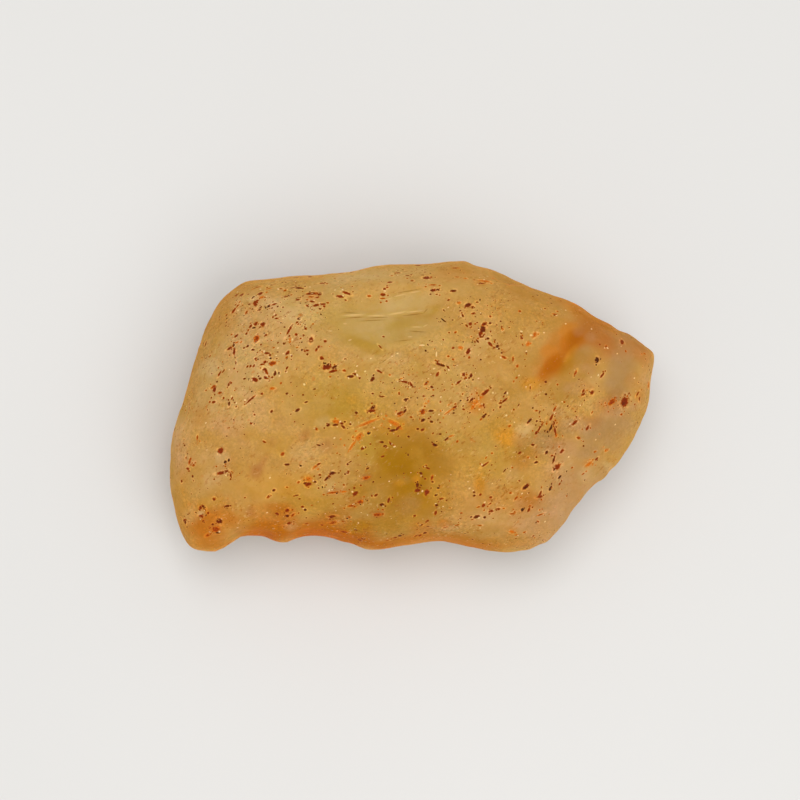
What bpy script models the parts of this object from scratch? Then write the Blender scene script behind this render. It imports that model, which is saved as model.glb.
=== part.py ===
"""Raw desert glass: one wind-worn nodule of natural glass, lying on its broad worn underside.

The frame is +Z up and +X along the nodule. The origin is on the surface that the nodule rests on, under the
middle of its footprint. Lengths are written in millimetres and turned into metres by MM.
"""

import math
from typing import NamedTuple

import bmesh
import bpy
import numpy as np
from mathutils import Vector, noise

MM = 0.001
NODE_NAME = "desert_glass"

# The widest outline, seen from above, counter-clockwise from the right-hand end. A smooth closed curve runs
# through these points. The lower edge has the scallops of old flake scars.
OUTLINE_MM = (
    (18.55, -0.15), (19.05, 2.2), (19.35, 3.75), (18.95, 4.4), (17.5, 5.4), (15.0, 6.65), (12.6, 8.15),
    (10.1, 9.1), (8.6, 9.75), (6.45, 10.85), (5.2, 11.1), (4.0, 11.4), (1.7, 11.3), (-2.3, 11.2),
    (-4.95, 10.65), (-8.95, 10.2), (-12.6, 9.95), (-13.4, 9.6), (-15.1, 8.3), (-16.5, 5.6), (-17.4, 2.1),
    (-18.55, -1.9), (-18.8, -5.1), (-18.55, -7.0), (-17.65, -9.8), (-16.75, -11.1), (-15.1, -11.15),
    (-13.7, -10.35), (-11.75, -10.3), (-9.95, -10.65), (-8.6, -10.15), (-6.7, -10.2), (-4.3, -10.8),
    (-3.15, -11.1), (-0.15, -10.8), (2.3, -10.7), (5.3, -11.3), (8.0, -11.6), (10.25, -11.05),
    (11.75, -9.55), (14.4, -6.35), (14.95, -5.95), (16.55, -3.8), (18.0, -1.3),
)

LENGTH_MM = 38.2
WIDTH_MM = 22.9
THICKNESS_MM = 12.4

# The widest outline isn't level. It rises and falls about its mean height in waves, each given by its number
# on the way round, its height and its phase in radians.
RIM_HEIGHT_MM = 5.2
RIM_WAVES = ((1, 0.70, 2.4), (2, 0.35, 0.6), (5, 0.17, 0.0))

# How square the cross-section is. A ball has 2 for both. A larger SHOULDER keeps the face flat for longer,
# and a larger WALL makes the side stand more upright.
TOP_SHOULDER, TOP_WALL = 4.6, 2.5
UNDER_SHOULDER, UNDER_WALL = 4.6, 2.4

# The plan grows from an ellipse at the middle into the outline at the rim. A larger power keeps the ellipse
# longer.
OUTLINE_POWER = 2.0


class Facet(NamedTuple):
    """A worn plane: the way that it falls, how far from the middle that starts, and its slope."""

    falls_to: tuple
    starts_mm: float
    slope: float


TOP_FACETS = (
    Facet((0.77, -0.64), 6.4, 0.36),
    Facet((0.10, -1.00), 4.4, 0.30),
    Facet((-0.96, 0.28), 11.5, 0.34),
    Facet((-0.10, 1.00), 7.2, 0.36),
    Facet((0.50, 0.87), 10.0, 0.30),
    Facet((-0.62, -0.78), 13.0, 0.30),
)
# The underside's facets climb away from its flat resting area.
UNDER_FACETS = (
    Facet((1.00, 0.10), 10.5, 0.34),
    Facet((0.35, 0.94), 5.6, 0.40),
    Facet((-0.45, 0.89), 7.0, 0.36),
    Facet((-1.00, 0.00), 11.5, 0.30),
    Facet((-0.50, -0.87), 8.6, 0.38),
    Facet((0.45, -0.89), 6.4, 0.40),
)
FACET_BLEND_MM = 0.45
UNDER_SINK_MM = 0.35

# A SOFT hollow fades into the surface, and a SHARP one keeps the crisp lip of a flake scar.
SOFT, SHARP = 2.0, 1.0


class Hollow(NamedTuple):
    """An ellipsoid pressed into the surface, turned about +Z."""

    centre_mm: tuple
    radii_mm: tuple
    turn_deg: float
    pushed_to: tuple
    depth_mm: float
    edge: float


HOLLOWS = (
    # the flow-lined scoop near the upper edge of the upper face
    Hollow((-2.1, 6.5, 12.0), (5.9, 2.6, 3.0), 8, (0.0, 0.15, -1.0), 0.80, SHARP),
    # the deep olive hollow above the lower edge, and the lip at its upper left
    Hollow((0.1, -5.4, 11.5), (3.5, 3.6, 3.0), 0, (0.0, 0.35, -1.0), 0.62, SOFT),
    Hollow((-1.8, -2.6, 12.0), (3.4, 1.1, 2.0), 24, (0.2, 0.30, -1.0), 0.15, SHARP),
    # the stained furrow and the shallow trough beyond it, on the right
    Hollow((12.5, 4.4, 10.5), (3.4, 1.45, 2.5), 50, (-0.2, 0.10, -1.0), 0.40, SOFT),
    Hollow((16.0, 1.6, 9.0), (1.9, 4.6, 3.0), -12, (-0.4, 0.00, -1.0), 0.30, SOFT),
    Hollow((7.0, -5.4, 10.5), (3.3, 2.9, 3.0), 0, (0.0, 0.20, -1.0), 0.28, SOFT),
    Hollow((12.2, -6.4, 9.0), (2.6, 2.0, 3.0), 40, (-0.4, 0.30, -1.0), 0.26, SOFT),
    # dimples of the broad left-hand part
    Hollow((-6.6, -6.2, 11.5), (2.8, 1.9, 2.5), 15, (0.0, 0.20, -1.0), 0.26, SOFT),
    Hollow((-15.0, -3.8, 10.5), (2.6, 3.0, 3.0), 0, (0.5, 0.00, -1.0), 0.30, SHARP),
    Hollow((-10.4, 4.2, 12.0), (3.6, 2.2, 2.5), -20, (0.0, 0.00, -1.0), 0.22, SOFT),
    Hollow((-8.4, -1.2, 12.0), (3.0, 2.4, 2.5), 30, (0.0, 0.00, -1.0), 0.20, SOFT),
    Hollow((4.6, 1.2, 12.0), (3.2, 2.2, 2.5), -35, (0.0, 0.00, -1.0), 0.22, SOFT),
    # flake scars down the lower edge, which make its scallops
    Hollow((-12.2, -11.9, 7.4), (2.2, 2.4, 4.6), 0, (0.1, 0.95, -0.3), 0.55, SHARP),
    Hollow((-7.7, -12.0, 7.8), (2.4, 2.4, 4.4), 0, (-0.1, 0.95, -0.4), 0.50, SHARP),
    Hollow((2.4, -12.2, 7.0), (3.0, 2.4, 4.8), 0, (0.0, 0.95, -0.3), 0.45, SHARP),
    # flake scars of the other sides, which the outline only hints at
    Hollow((14.9, -8.0, 4.6), (2.8, 2.4, 3.2), -40, (-0.8, 0.60, 0.0), 0.50, SHARP),
    Hollow((9.5, 11.2, 3.2), (5.6, 2.6, 3.2), -28, (-0.4, -0.85, 0.3), 0.90, SHARP),
    Hollow((-5.5, 12.2, 3.4), (6.0, 2.8, 3.0), 4, (0.0, -0.95, 0.3), 0.85, SHARP),
    Hollow((-19.6, 1.8, 3.0), (2.6, 5.2, 2.8), -14, (0.95, 0.00, 0.3), 0.80, SHARP),
    Hollow((-19.8, -7.4, 7.6), (1.9, 3.2, 2.6), 8, (0.95, 0.10, -0.2), 0.40, SHARP),
    Hollow((19.8, 2.4, 3.4), (2.0, 3.4, 2.2), 6, (-0.95, 0.00, 0.2), 0.55, SHARP),
    Hollow((6.8, -12.2, 2.4), (4.6, 2.6, 2.6), 0, (0.0, 0.80, 0.6), 0.80, SHARP),
    Hollow((-14.5, -10.8, 1.6), (4.4, 3.4, 2.4), 20, (0.4, 0.50, 0.8), 0.90, SHARP),
    # thumbprints of the underside, clear of its resting flat
    Hollow((13.2, 2.8, 0.9), (3.8, 3.4, 2.4), 20, (-0.2, 0.00, 1.0), 0.70, SHARP),
    Hollow((-14.0, 4.2, 0.8), (3.6, 3.8, 2.4), 0, (0.2, 0.00, 1.0), 0.65, SHARP),
    Hollow((1.8, 9.2, 1.2), (4.4, 2.6, 2.4), 0, (0.0, -0.20, 1.0), 0.60, SHARP),
)

# Slow swells of the whole surface: the distance from crest to crest and the height of each.
SWELLS_MM = ((9.0, 0.30), (4.2, 0.16), (2.1, 0.06))
SWELL_PLACE = Vector((3.7, 1.9, 8.2))

# Worn pits, scattered over the sides and the underside above the resting flat.
PIT_SEED = 11
PIT_COUNT = 34
PIT_RADIUS_MM = (0.8, 1.7)
PIT_DEPTH_SHARE = 0.30
PIT_EDGE = 1.5
PIT_LOWEST_MM = 1.3
PIT_HIGHEST_SLOPE = 0.55

BALL_SUBDIVISIONS = 6
KEPT_SHARE = 0.47
CURVE_STEPS = 24
ELLIPSE_STEPS = 720
CUTTER_DEPTH_MM = 4.0

GLASS_COLOUR = (0.56, 0.33, 0.09, 1.0)
GLASS_ROUGHNESS = 0.5
GLASS_IOR = 1.462


def smooth_closed_curve(points):
    """Points closely spaced along the Catmull-Rom curve through the given ones."""
    knots = np.array(points)
    before, after, beyond = np.roll(knots, 1, 0), np.roll(knots, -1, 0), np.roll(knots, -2, 0)
    steps = []
    for t in np.linspace(0.0, 1.0, CURVE_STEPS, endpoint=False):
        steps.append(
            0.5 * (2 * knots + (after - before) * t
                   + (2 * before - 5 * knots + 4 * after - beyond) * t ** 2
                   + (3 * knots - before - 3 * after + beyond) * t ** 3)
        )
    return np.stack(steps, axis=1).reshape(-1, 2)


def points_at(curve, share):
    """Points of a closed curve at the given shares of its way round."""
    closed = np.vstack([curve, curve[:1]])
    way = np.concatenate([[0.0], np.cumsum(np.linalg.norm(np.diff(closed, axis=0), axis=1))])
    at = np.mod(share, 1.0) * way[-1]
    return np.stack([np.interp(at, way, closed[:, axis]) for axis in (0, 1)], axis=1)


def ellipse():
    """Points closely spaced round the ellipse of the nodule's length and width."""
    turn = np.linspace(0.0, 2 * math.pi, ELLIPSE_STEPS, endpoint=False)
    return np.stack([LENGTH_MM / 2 * np.cos(turn), WIDTH_MM / 2 * np.sin(turn)], axis=1)


def fall_of(plan, facets):
    """How far a face has fallen back below its highest level, from all its facets, with blended edges."""
    falls = [np.zeros(len(plan))]
    for facet in facets:
        away = np.array(facet.falls_to) / np.linalg.norm(facet.falls_to)
        falls.append((plan @ away - facet.starts_mm) * facet.slope)
    falls = np.array(falls) / FACET_BLEND_MM
    highest = falls.max(axis=0)
    return FACET_BLEND_MM * (highest + np.log(np.exp(falls - highest).sum(axis=0)))


def rim_height(turn):
    return RIM_HEIGHT_MM + sum(height * np.sin(number * turn + phase) for number, height, phase in RIM_WAVES)


def nodule_points(ball):
    """The unit ball's points, moved onto the nodule's broad form."""
    turn = np.arctan2(ball[:, 1], ball[:, 0])
    reach = np.minimum(np.linalg.norm(ball[:, :2], axis=1), 1.0)
    share = turn / (2 * math.pi)
    grown = (reach ** OUTLINE_POWER)[:, None]
    outline = points_at(smooth_closed_curve(OUTLINE_MM), share)
    plan = reach[:, None] * ((1 - grown) * points_at(ellipse(), share) + grown * outline)

    rim = rim_height(turn)
    top = THICKNESS_MM - fall_of(plan, TOP_FACETS)
    under = fall_of(plan, UNDER_FACETS) - UNDER_SINK_MM
    rise = np.maximum(1 - reach ** TOP_SHOULDER, 0.0) ** (1 / TOP_WALL)
    drop = np.maximum(1 - reach ** UNDER_SHOULDER, 0.0) ** (1 / UNDER_WALL)
    height = np.where(ball[:, 2] >= 0, rim + (top - rim) * rise, rim - (rim - under) * drop)
    return np.column_stack([plan, height])


def press_hollow(points, hollow):
    """Presses one hollow into the points that it reaches."""
    turn = math.radians(hollow.turn_deg)
    along = np.array((math.cos(turn), math.sin(turn), 0.0))
    across = np.array((-math.sin(turn), math.cos(turn), 0.0))
    away = points - np.array(hollow.centre_mm)
    radius_along, radius_across, radius_up = hollow.radii_mm
    reach = (away @ along / radius_along) ** 2 + (away @ across / radius_across) ** 2
    reach += (away[:, 2] / radius_up) ** 2
    push = np.array(hollow.pushed_to) / np.linalg.norm(hollow.pushed_to)
    return points + np.outer(hollow.depth_mm * np.maximum(1 - reach, 0.0) ** hollow.edge, push)


def press_pits(points, normals):
    """Presses seeded round pits into the sides and the underside, each straight into the surface."""
    chance = np.random.default_rng(PIT_SEED)
    allowed = np.flatnonzero((points[:, 2] > PIT_LOWEST_MM) & (normals[:, 2] < PIT_HIGHEST_SLOPE))
    for centre in chance.choice(allowed, PIT_COUNT, replace=False):
        radius = chance.uniform(*PIT_RADIUS_MM)
        reach = np.sum((points - points[centre]) ** 2, axis=1) / radius ** 2
        depth = PIT_DEPTH_SHARE * radius * np.maximum(1 - reach, 0.0) ** PIT_EDGE
        points = points - np.outer(depth, normals[centre])
    return points


def swell(points, normals):
    """Raises and lowers the points along their normals by slow, seeded noise."""
    heights = np.zeros(len(points))
    for period, amount in SWELLS_MM:
        heights += [amount * noise.noise(Vector(point) / period + SWELL_PLACE) for point in points]
    return points + normals * heights[:, None]


def normals_of(mesh):
    found = np.empty(len(mesh.vertices) * 3)
    mesh.vertex_normals.foreach_get("vector", found)
    return found.reshape(-1, 3)


def place_points(mesh, points_mm):
    mesh.vertices.foreach_set("co", (points_mm * MM).ravel())
    mesh.update()


def centred(points):
    """The points with the middle of their footprint at the origin."""
    middle = (points.max(axis=0) + points.min(axis=0)) / 2
    return points - np.array((middle[0], middle[1], 0.0))


def glass_material():
    material = bpy.data.materials.new("desert_glass")
    material.use_nodes = True
    surface = material.node_tree.nodes["Principled BSDF"]
    surface.inputs["Base Color"].default_value = GLASS_COLOUR
    surface.inputs["Roughness"].default_value = GLASS_ROUGHNESS
    surface.inputs["Metallic"].default_value = 0.0
    surface.inputs["IOR"].default_value = GLASS_IOR
    return material


def rest_cutter():
    """A block whose upper face is the rest surface. It cuts the resting flat."""
    form = bmesh.new()
    bmesh.ops.create_cube(form, size=1.0)
    side, depth = 2 * LENGTH_MM * MM, CUTTER_DEPTH_MM * MM
    bmesh.ops.scale(form, vec=(side, side, depth), verts=form.verts)
    bmesh.ops.translate(form, vec=(0.0, 0.0, -depth / 2), verts=form.verts)
    mesh = bpy.data.meshes.new("rest_cutter")
    form.to_mesh(mesh)
    form.free()
    cutter = bpy.data.objects.new("rest_cutter", mesh)
    cutter.hide_render = True
    cutter.display_type = "WIRE"
    bpy.context.scene.collection.objects.link(cutter)
    return cutter


def ball_mesh():
    form = bmesh.new()
    bmesh.ops.create_icosphere(form, subdivisions=BALL_SUBDIVISIONS, radius=1.0)
    mesh = bpy.data.meshes.new(NODE_NAME)
    form.to_mesh(mesh)
    form.free()
    return mesh


def nodule():
    mesh = ball_mesh()
    ball = np.empty(len(mesh.vertices) * 3)
    mesh.vertices.foreach_get("co", ball)
    points = nodule_points(ball.reshape(-1, 3))
    for hollow in HOLLOWS:
        points = press_hollow(points, hollow)
    place_points(mesh, points)
    points = swell(points, normals_of(mesh))
    place_points(mesh, points)
    place_points(mesh, centred(press_pits(points, normals_of(mesh))))
    mesh.shade_smooth()

    stone = bpy.data.objects.new(NODE_NAME, mesh)
    mesh.materials.append(glass_material())
    bpy.context.scene.collection.objects.link(stone)
    thin_out = stone.modifiers.new("thin_out", "DECIMATE")
    thin_out.ratio = KEPT_SHARE
    rest_flat = stone.modifiers.new("rest_flat", "BOOLEAN")
    rest_flat.operation = "DIFFERENCE"
    rest_flat.object = rest_cutter()
    return stone


def main():
    for old in list(bpy.data.objects):
        bpy.data.objects.remove(old)
    nodule()


main()
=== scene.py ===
"""Looks of the raw desert glass: a frosted, cloudy, honey-coloured stone with iron specks and orange stains.

Lengths are in millimetres until a mesh is written, where MM turns them into metres. Places on the upper face
are given as they were read from the photograph, in its pixels, and PHOTO_PIXEL_MM gives a pixel's real size.
"Facing" is the cosine between a place's outward direction and the way to the camera: 1 where it is square to
the camera, and 0 where it is edge-on. A noise's "period" is its distance from crest to crest, and its
"place" picks one pattern of many.
"""

import math
from typing import NamedTuple

import bmesh
import bpy
import numpy as np
from mathutils import Matrix, Vector, kdtree, noise
from mathutils.bvhtree import BVHTree


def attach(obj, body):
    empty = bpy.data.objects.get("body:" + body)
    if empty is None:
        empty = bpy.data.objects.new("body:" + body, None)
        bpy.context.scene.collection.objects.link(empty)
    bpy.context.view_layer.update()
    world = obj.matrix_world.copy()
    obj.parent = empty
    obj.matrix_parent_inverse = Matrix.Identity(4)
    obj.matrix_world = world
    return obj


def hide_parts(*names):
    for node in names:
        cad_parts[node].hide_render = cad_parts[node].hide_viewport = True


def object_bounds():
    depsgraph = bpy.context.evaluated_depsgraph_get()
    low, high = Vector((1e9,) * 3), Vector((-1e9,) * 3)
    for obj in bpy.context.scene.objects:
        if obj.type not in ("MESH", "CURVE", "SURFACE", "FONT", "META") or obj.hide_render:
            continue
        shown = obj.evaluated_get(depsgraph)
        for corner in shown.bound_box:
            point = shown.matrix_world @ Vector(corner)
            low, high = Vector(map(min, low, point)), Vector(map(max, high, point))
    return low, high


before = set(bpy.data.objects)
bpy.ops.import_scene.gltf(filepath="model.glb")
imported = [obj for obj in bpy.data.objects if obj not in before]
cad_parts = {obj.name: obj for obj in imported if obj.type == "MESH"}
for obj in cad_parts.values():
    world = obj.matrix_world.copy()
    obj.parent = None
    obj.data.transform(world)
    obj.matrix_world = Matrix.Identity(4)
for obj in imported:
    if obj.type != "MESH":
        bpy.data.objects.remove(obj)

CAD_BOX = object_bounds()
MM = 0.001

# The photograph: its size, the middle of the stone in it, and what one pixel covers at the stone's rim.
PHOTO_SIDE = 800
STONE_MIDDLE_PX = (412.75, 406.5)
PHOTO_PIXEL_MM = 0.0786
RIM_HEIGHT_MM = 5.2

# The camera looks almost straight down, leaning towards the photograph's lower left.
LENS_MM = 100.0
SENSOR_MM = 36.0
CAMERA_LEAN_DEG = 8.0
CAMERA_LEANS_TO_DEG = -35.0
NEAREST_SEEN_MM = 10.0

# The fine surface: cells along each side of the ball's cube, how much denser it is on the upper face, and
# about the side of one of its faces.
CELLS = 128
UPPER_DENSITY = 1.35
FACE_SIDE_MM = 0.12
SMOOTHING_ROUNDS = 10
SMOOTHING = 0.5

# A place this near to the lowest point of a ball counts as that point.
POLE_GAP = 1e-9

# Points lower than this lie on the resting flat.
REST_BAND_MM = 0.002

# How a noise's place shifts it along the three axes.
NOISE_SHIFT = (1.0, 2.3, -1.7)


def srgb(colour):
    """A screen colour, given as 0 to 255, as linear light."""
    parts = np.array(colour) / 255
    return np.where(parts <= 0.04045, parts / 12.92, ((parts + 0.055) / 1.055) ** 2.4)


def opaque(colour):
    return (*colour, 1.0)


# Where the camera stands

def camera_place():
    """The camera's place, and its right, up and backward directions."""
    lean, leans_to = math.radians(CAMERA_LEAN_DEG), math.radians(CAMERA_LEANS_TO_DEG)
    sideways = math.sin(lean)
    back = Vector((sideways * math.sin(leans_to), -sideways * math.cos(leans_to), math.cos(lean)))
    right = Vector((1.0, 0.0, 0.0))
    right = (right - back * right.dot(back)).normalized()
    up = back.cross(right)
    middle = PHOTO_SIDE / 2
    aim_mm = Vector((
        (middle - STONE_MIDDLE_PX[0]) * PHOTO_PIXEL_MM,
        (STONE_MIDDLE_PX[1] - middle) * PHOTO_PIXEL_MM,
        RIM_HEIGHT_MM,
    ))
    distance_mm = PHOTO_SIDE * PHOTO_PIXEL_MM * LENS_MM / SENSOR_MM
    return aim_mm + back * distance_mm, right, up, back


EYE_MM, EYE_RIGHT, EYE_UP, EYE_BACK = camera_place()
PIXELS_PER_SLOPE = PHOTO_SIDE * LENS_MM / SENSOR_MM


def photo_places(points_mm):
    """Where points fall in the photograph, in its pixels."""
    away = points_mm - np.array(EYE_MM)
    depth = -(away @ np.array(EYE_BACK))
    across = away @ np.array(EYE_RIGHT) / depth * PIXELS_PER_SLOPE
    upward = away @ np.array(EYE_UP) / depth * PIXELS_PER_SLOPE
    return np.column_stack([PHOTO_SIDE / 2 + across, PHOTO_SIDE / 2 - upward])


def photo_ray(x_px, y_px):
    """The direction in which the camera sees one place of the photograph."""
    across = (x_px - PHOTO_SIDE / 2) / PIXELS_PER_SLOPE
    upward = (PHOTO_SIDE / 2 - y_px) / PIXELS_PER_SLOPE
    return (EYE_RIGHT * across + EYE_UP * upward - EYE_BACK).normalized()


def make_camera():
    lens = bpy.data.cameras.new("camera")
    lens.lens = LENS_MM
    lens.sensor_width = SENSOR_MM
    lens.clip_start = NEAREST_SEEN_MM * MM
    camera = bpy.data.objects.new("camera", lens)
    bpy.context.scene.collection.objects.link(camera)
    turn = Matrix((EYE_RIGHT, EYE_UP, EYE_BACK)).transposed().to_4x4()
    camera.matrix_world = Matrix.Translation(EYE_MM * MM) @ turn
    bpy.context.scene.camera = camera


# The fine surface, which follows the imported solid

def values_of(items, name, width=3):
    """One value of all the vertices or faces of a mesh: a vector, unless another width is asked for."""
    values = np.empty(len(items) * width)
    items.foreach_get(name, values)
    return values.reshape(-1, width)


def facing_of(outwards):
    return outwards @ np.array(EYE_BACK)


def ray_tree(corners, mesh):
    """The mesh's faces, ready to be hit by rays, with its corners in the places given."""
    return BVHTree.FromPolygons(corners, [tuple(face.vertices) for face in mesh.polygons])


def ball_mesh():
    """A ball made of a cube's even grid, and its points after they are drawn towards the upper side."""
    form = bmesh.new()
    bmesh.ops.create_cube(form, size=2.0)
    bmesh.ops.subdivide_edges(form, edges=form.edges, cuts=CELLS - 1, use_grid_fill=True)
    mesh = bpy.data.meshes.new("desert_glass_surface")
    form.to_mesh(mesh)
    form.free()
    ball = np.tan(values_of(mesh.vertices, "co") * math.pi / 4)
    ball /= np.linalg.norm(ball, axis=1)[:, None]
    lowest = ball[:, 2] < -1 + POLE_GAP
    plane = ball[:, :2] / np.where(lowest, 1.0, 1 + ball[:, 2])[:, None] / UPPER_DENSITY
    square = np.sum(plane ** 2, axis=1)[:, None]
    drawn = np.hstack([2 * plane, 1 - square]) / (1 + square)
    drawn[lowest] = (0.0, 0.0, -1.0)
    return mesh, drawn


def on_solid(ball):
    """The ball's points, sent outwards from the solid's middle onto its surface."""
    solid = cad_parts["desert_glass"].data
    tree = ray_tree([vertex.co / MM for vertex in solid.vertices], solid)
    low, high = (np.array(corner) / MM for corner in CAD_BOX)
    start = Vector((low + high) / 2)
    hits = [tree.ray_cast(start, Vector(way).normalized())[0] for way in ball * (high - low)]
    return np.array(hits)


def smoothed(mesh, points):
    """Rounds off the solid's small flat triangles. The resting flat stays flat."""
    ends = np.empty(len(mesh.edges) * 2, dtype=np.int32)
    mesh.edges.foreach_get("vertices", ends)
    ends = ends.reshape(-1, 2)
    neighbours = np.bincount(ends.ravel(), minlength=len(points))[:, None]
    resting = points[:, 2] < REST_BAND_MM
    for _ in range(SMOOTHING_ROUNDS):
        total = np.zeros_like(points)
        for axis in range(3):
            total[:, axis] += np.bincount(ends[:, 0], points[ends[:, 1], axis], len(points))
            total[:, axis] += np.bincount(ends[:, 1], points[ends[:, 0], axis], len(points))
        points = points + SMOOTHING * (total / neighbours - points)
        points[resting, 2] = 0.0
    return points


def write_points(mesh, points_mm):
    mesh.vertices.foreach_set("co", (points_mm * MM).ravel())
    mesh.update()


def noise_at(points_mm, period_mm, place):
    """Smooth noise from about -1 to 1 at each point. Another place gives another pattern."""
    shift = Vector([share * place for share in NOISE_SHIFT])
    return np.array([noise.noise(Vector(point) / period_mm + shift) for point in points_mm])


def smooth_step(low, high, values):
    share = np.clip((values - low) / (high - low), 0, 1)
    return share * share * (3 - 2 * share)


def bell(values, middle, reach):
    return np.exp(-(((values - middle) / reach) ** 2))


def in_ellipse(places_px, x_px, y_px, x_radius_px, y_radius_px, turn_deg=0):
    """How far out places lie in a turned ellipse of the photograph: 0 at its middle and 1 on its line."""
    turn = math.radians(turn_deg)
    away = places_px - np.array((x_px, y_px))
    along = away[:, 0] * math.cos(turn) - away[:, 1] * math.sin(turn)
    across = away[:, 0] * math.sin(turn) + away[:, 1] * math.cos(turn)
    return np.hypot(along / x_radius_px, across / y_radius_px)


# The relief that is finer than the solid's

# Unevenness of the worn skin: each noise's period, height and place.
UNEVENNESS_MM = ((2.4, 0.070, 5.0), (1.1, 0.042, 6.0), (0.55, 0.020, 7.0))


class SmoothGround(NamedTuple):
    """Ground with less frosting, fewer specks and lower relief than the rest, in the photograph."""

    x_px: float
    y_px: float
    x_radius_px: float
    y_radius_px: float
    turn_deg: float
    smoothness: float


SMOOTH_GROUND = (
    # the floor of the scoop and the ground above it
    SmoothGround(386, 325, 66, 27, 8, 0.90),
    SmoothGround(400, 293, 92, 22, 5, 0.50),
    # the blurred stain, the right-hand end and its lower flank
    SmoothGround(562, 350, 42, 28, 52, 0.80),
    SmoothGround(610, 362, 46, 34, -30, 0.70),
    SmoothGround(596, 440, 50, 26, 40, 0.60),
    SmoothGround(560, 500, 44, 30, 30, 0.50),
    # the deep hollow and the lower left
    SmoothGround(404, 468, 46, 46, 0, 0.60),
    SmoothGround(250, 470, 60, 40, 0, 0.35),
)

# Where smooth ground begins to fade and where it ends, in its radii. Then the facing where it begins and
# the facing from which it is whole.
GROUND_EDGE = (0.55, 1.2)
GROUND_FACING = (0.2, 0.5)

# What is left of the unevenness on wholly smooth ground.
SMOOTH_SKIN = 0.25


class FlowLine(NamedTuple):
    """A raised or sunken line of the scoop: its two ends in the photograph, its width and its height."""

    start_x_px: float
    start_y_px: float
    end_x_px: float
    end_y_px: float
    width_px: float
    height_mm: float


# Each row gives a line's values in that order.
FLOW_LINES = tuple(FlowLine(*row) for row in (
    (342, 316, 365, 314, 1.9, 0.05), (341, 319, 390, 316, 2.0, -0.04),
    (342, 312.5, 378, 309.5, 1.9, -0.03), (367, 316, 386, 315, 1.9, 0.04), (388, 315, 408, 311, 2.4, 0.06),
    (404, 312, 424, 310.5, 2.2, 0.05), (392, 319, 438, 311, 4.5, -0.06), (383, 301, 408, 293, 2.6, 0.035),
    (408, 293, 430, 290, 2.6, 0.035), (410, 327, 428, 325, 2.0, 0.04), (408, 332, 430, 332, 2.2, -0.04),
    (322, 330, 350, 343, 6.0, -0.04), (345, 341, 378, 351, 6.0, -0.05), (350, 331, 392, 336, 7.0, 0.04),
    (396, 344, 420, 338, 3.0, 0.035), (417, 360, 429, 356, 2.0, -0.03), (391, 442, 371, 482, 2.5, 0.045),
    (395, 441, 376, 478, 3.0, -0.045), (407, 437, 428, 470, 4.0, 0.04),
))

# The square of what is left of a line's height at its ends, and the facing where lines begin and are whole.
LINE_END = 0.15
LINE_FACING = (0.3, 0.7)


class Nudge(NamedTuple):
    """A small bump (or a dent, when negative) of the rim, at a place of its outline in the photograph."""

    x_px: float
    y_px: float
    radius_px: float
    outwards_px: float


# Each row gives a nudge's values in that order.
NUDGES = tuple(Nudge(*row) for row in (
    (652, 353, 6, 1.6), (619, 330, 8, -1.4), (580, 307, 22, 1.6), (466, 262, 7, 1.6), (390, 264, 18, 1.0),
    (292, 276, 22, 1.1), (199, 348, 12, -1.1), (172, 497, 17, -1.8), (217, 550, 11, 2.6),
    (240, 535, 9, -3.0), (262, 535, 12, -1.3), (287, 540, 6, 1.2), (352, 543, 8, -1.2),
    (452, 542, 11, 0.9), (521, 549, 7, -1.1), (545, 540, 7, 2.0), (571, 509, 12, -2.6),
    (608, 470, 6, -2.0), (635, 432, 12, 1.1), (648, 402, 12, 1.1),
))


def nudged(points, places_px, normals):
    """Moves the rim sideways by the nudges. Faces that look at the camera or away from it hardly move."""
    sideways = normals - facing_of(normals)[:, None] * np.array(EYE_BACK)
    for nudge in NUDGES:
        away_px = np.linalg.norm(places_px - np.array((nudge.x_px, nudge.y_px)), axis=1)
        share = bell(away_px, 0.0, nudge.radius_px)
        points = points + (nudge.outwards_px * PHOTO_PIXEL_MM * share)[:, None] * sideways
    return points


def line_height(places_px, line):
    """A flow line's height at each place. It thins out towards both ends."""
    start = np.array((line.start_x_px, line.start_y_px), float)
    run = np.array((line.end_x_px, line.end_y_px), float) - start
    share = np.clip((places_px - start) @ run / (run @ run), 0, 1)
    away_px = np.linalg.norm(places_px - start - share[:, None] * run, axis=1)
    thinned = np.sqrt(LINE_END + (1 - LINE_END) * 4 * share * (1 - share))
    return line.height_mm * thinned * bell(away_px, 0.0, line.width_px)


def smooth_share(places_px, facing):
    """1 on wholly smooth ground and 0 away from it."""
    rough = np.ones(len(places_px))
    for *ellipse, smoothness in SMOOTH_GROUND:
        rough *= 1 - smoothness * (1 - smooth_step(*GROUND_EDGE, in_ellipse(places_px, *ellipse)))
    return (1 - rough) * smooth_step(*GROUND_FACING, facing)


def raise_relief(mesh, points):
    """Adds the fine relief and keeps the surface inside the solid's box and flat where it rests."""
    normals = values_of(mesh.vertices, "normal")
    facing = facing_of(normals)
    places_px = photo_places(points)
    skin = 1 - (1 - SMOOTH_SKIN) * smooth_share(places_px, facing)
    height = np.zeros(len(points))
    for period, amount, place in UNEVENNESS_MM:
        height += amount * skin * noise_at(points, period, place)
    upper = smooth_step(*LINE_FACING, facing)
    for line in FLOW_LINES:
        height += upper * line_height(places_px, line)
    resting = points[:, 2] < REST_BAND_MM
    height[resting] = 0.0
    low, high = (np.array(corner) / MM for corner in CAD_BOX)
    points = np.clip(nudged(points + height[:, None] * normals, places_px, normals), low, high)
    points[resting, 2] = 0.0
    write_points(mesh, points)
    return points


# Colours of the skin. All clouds and smears are mixed from these few.

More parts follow.
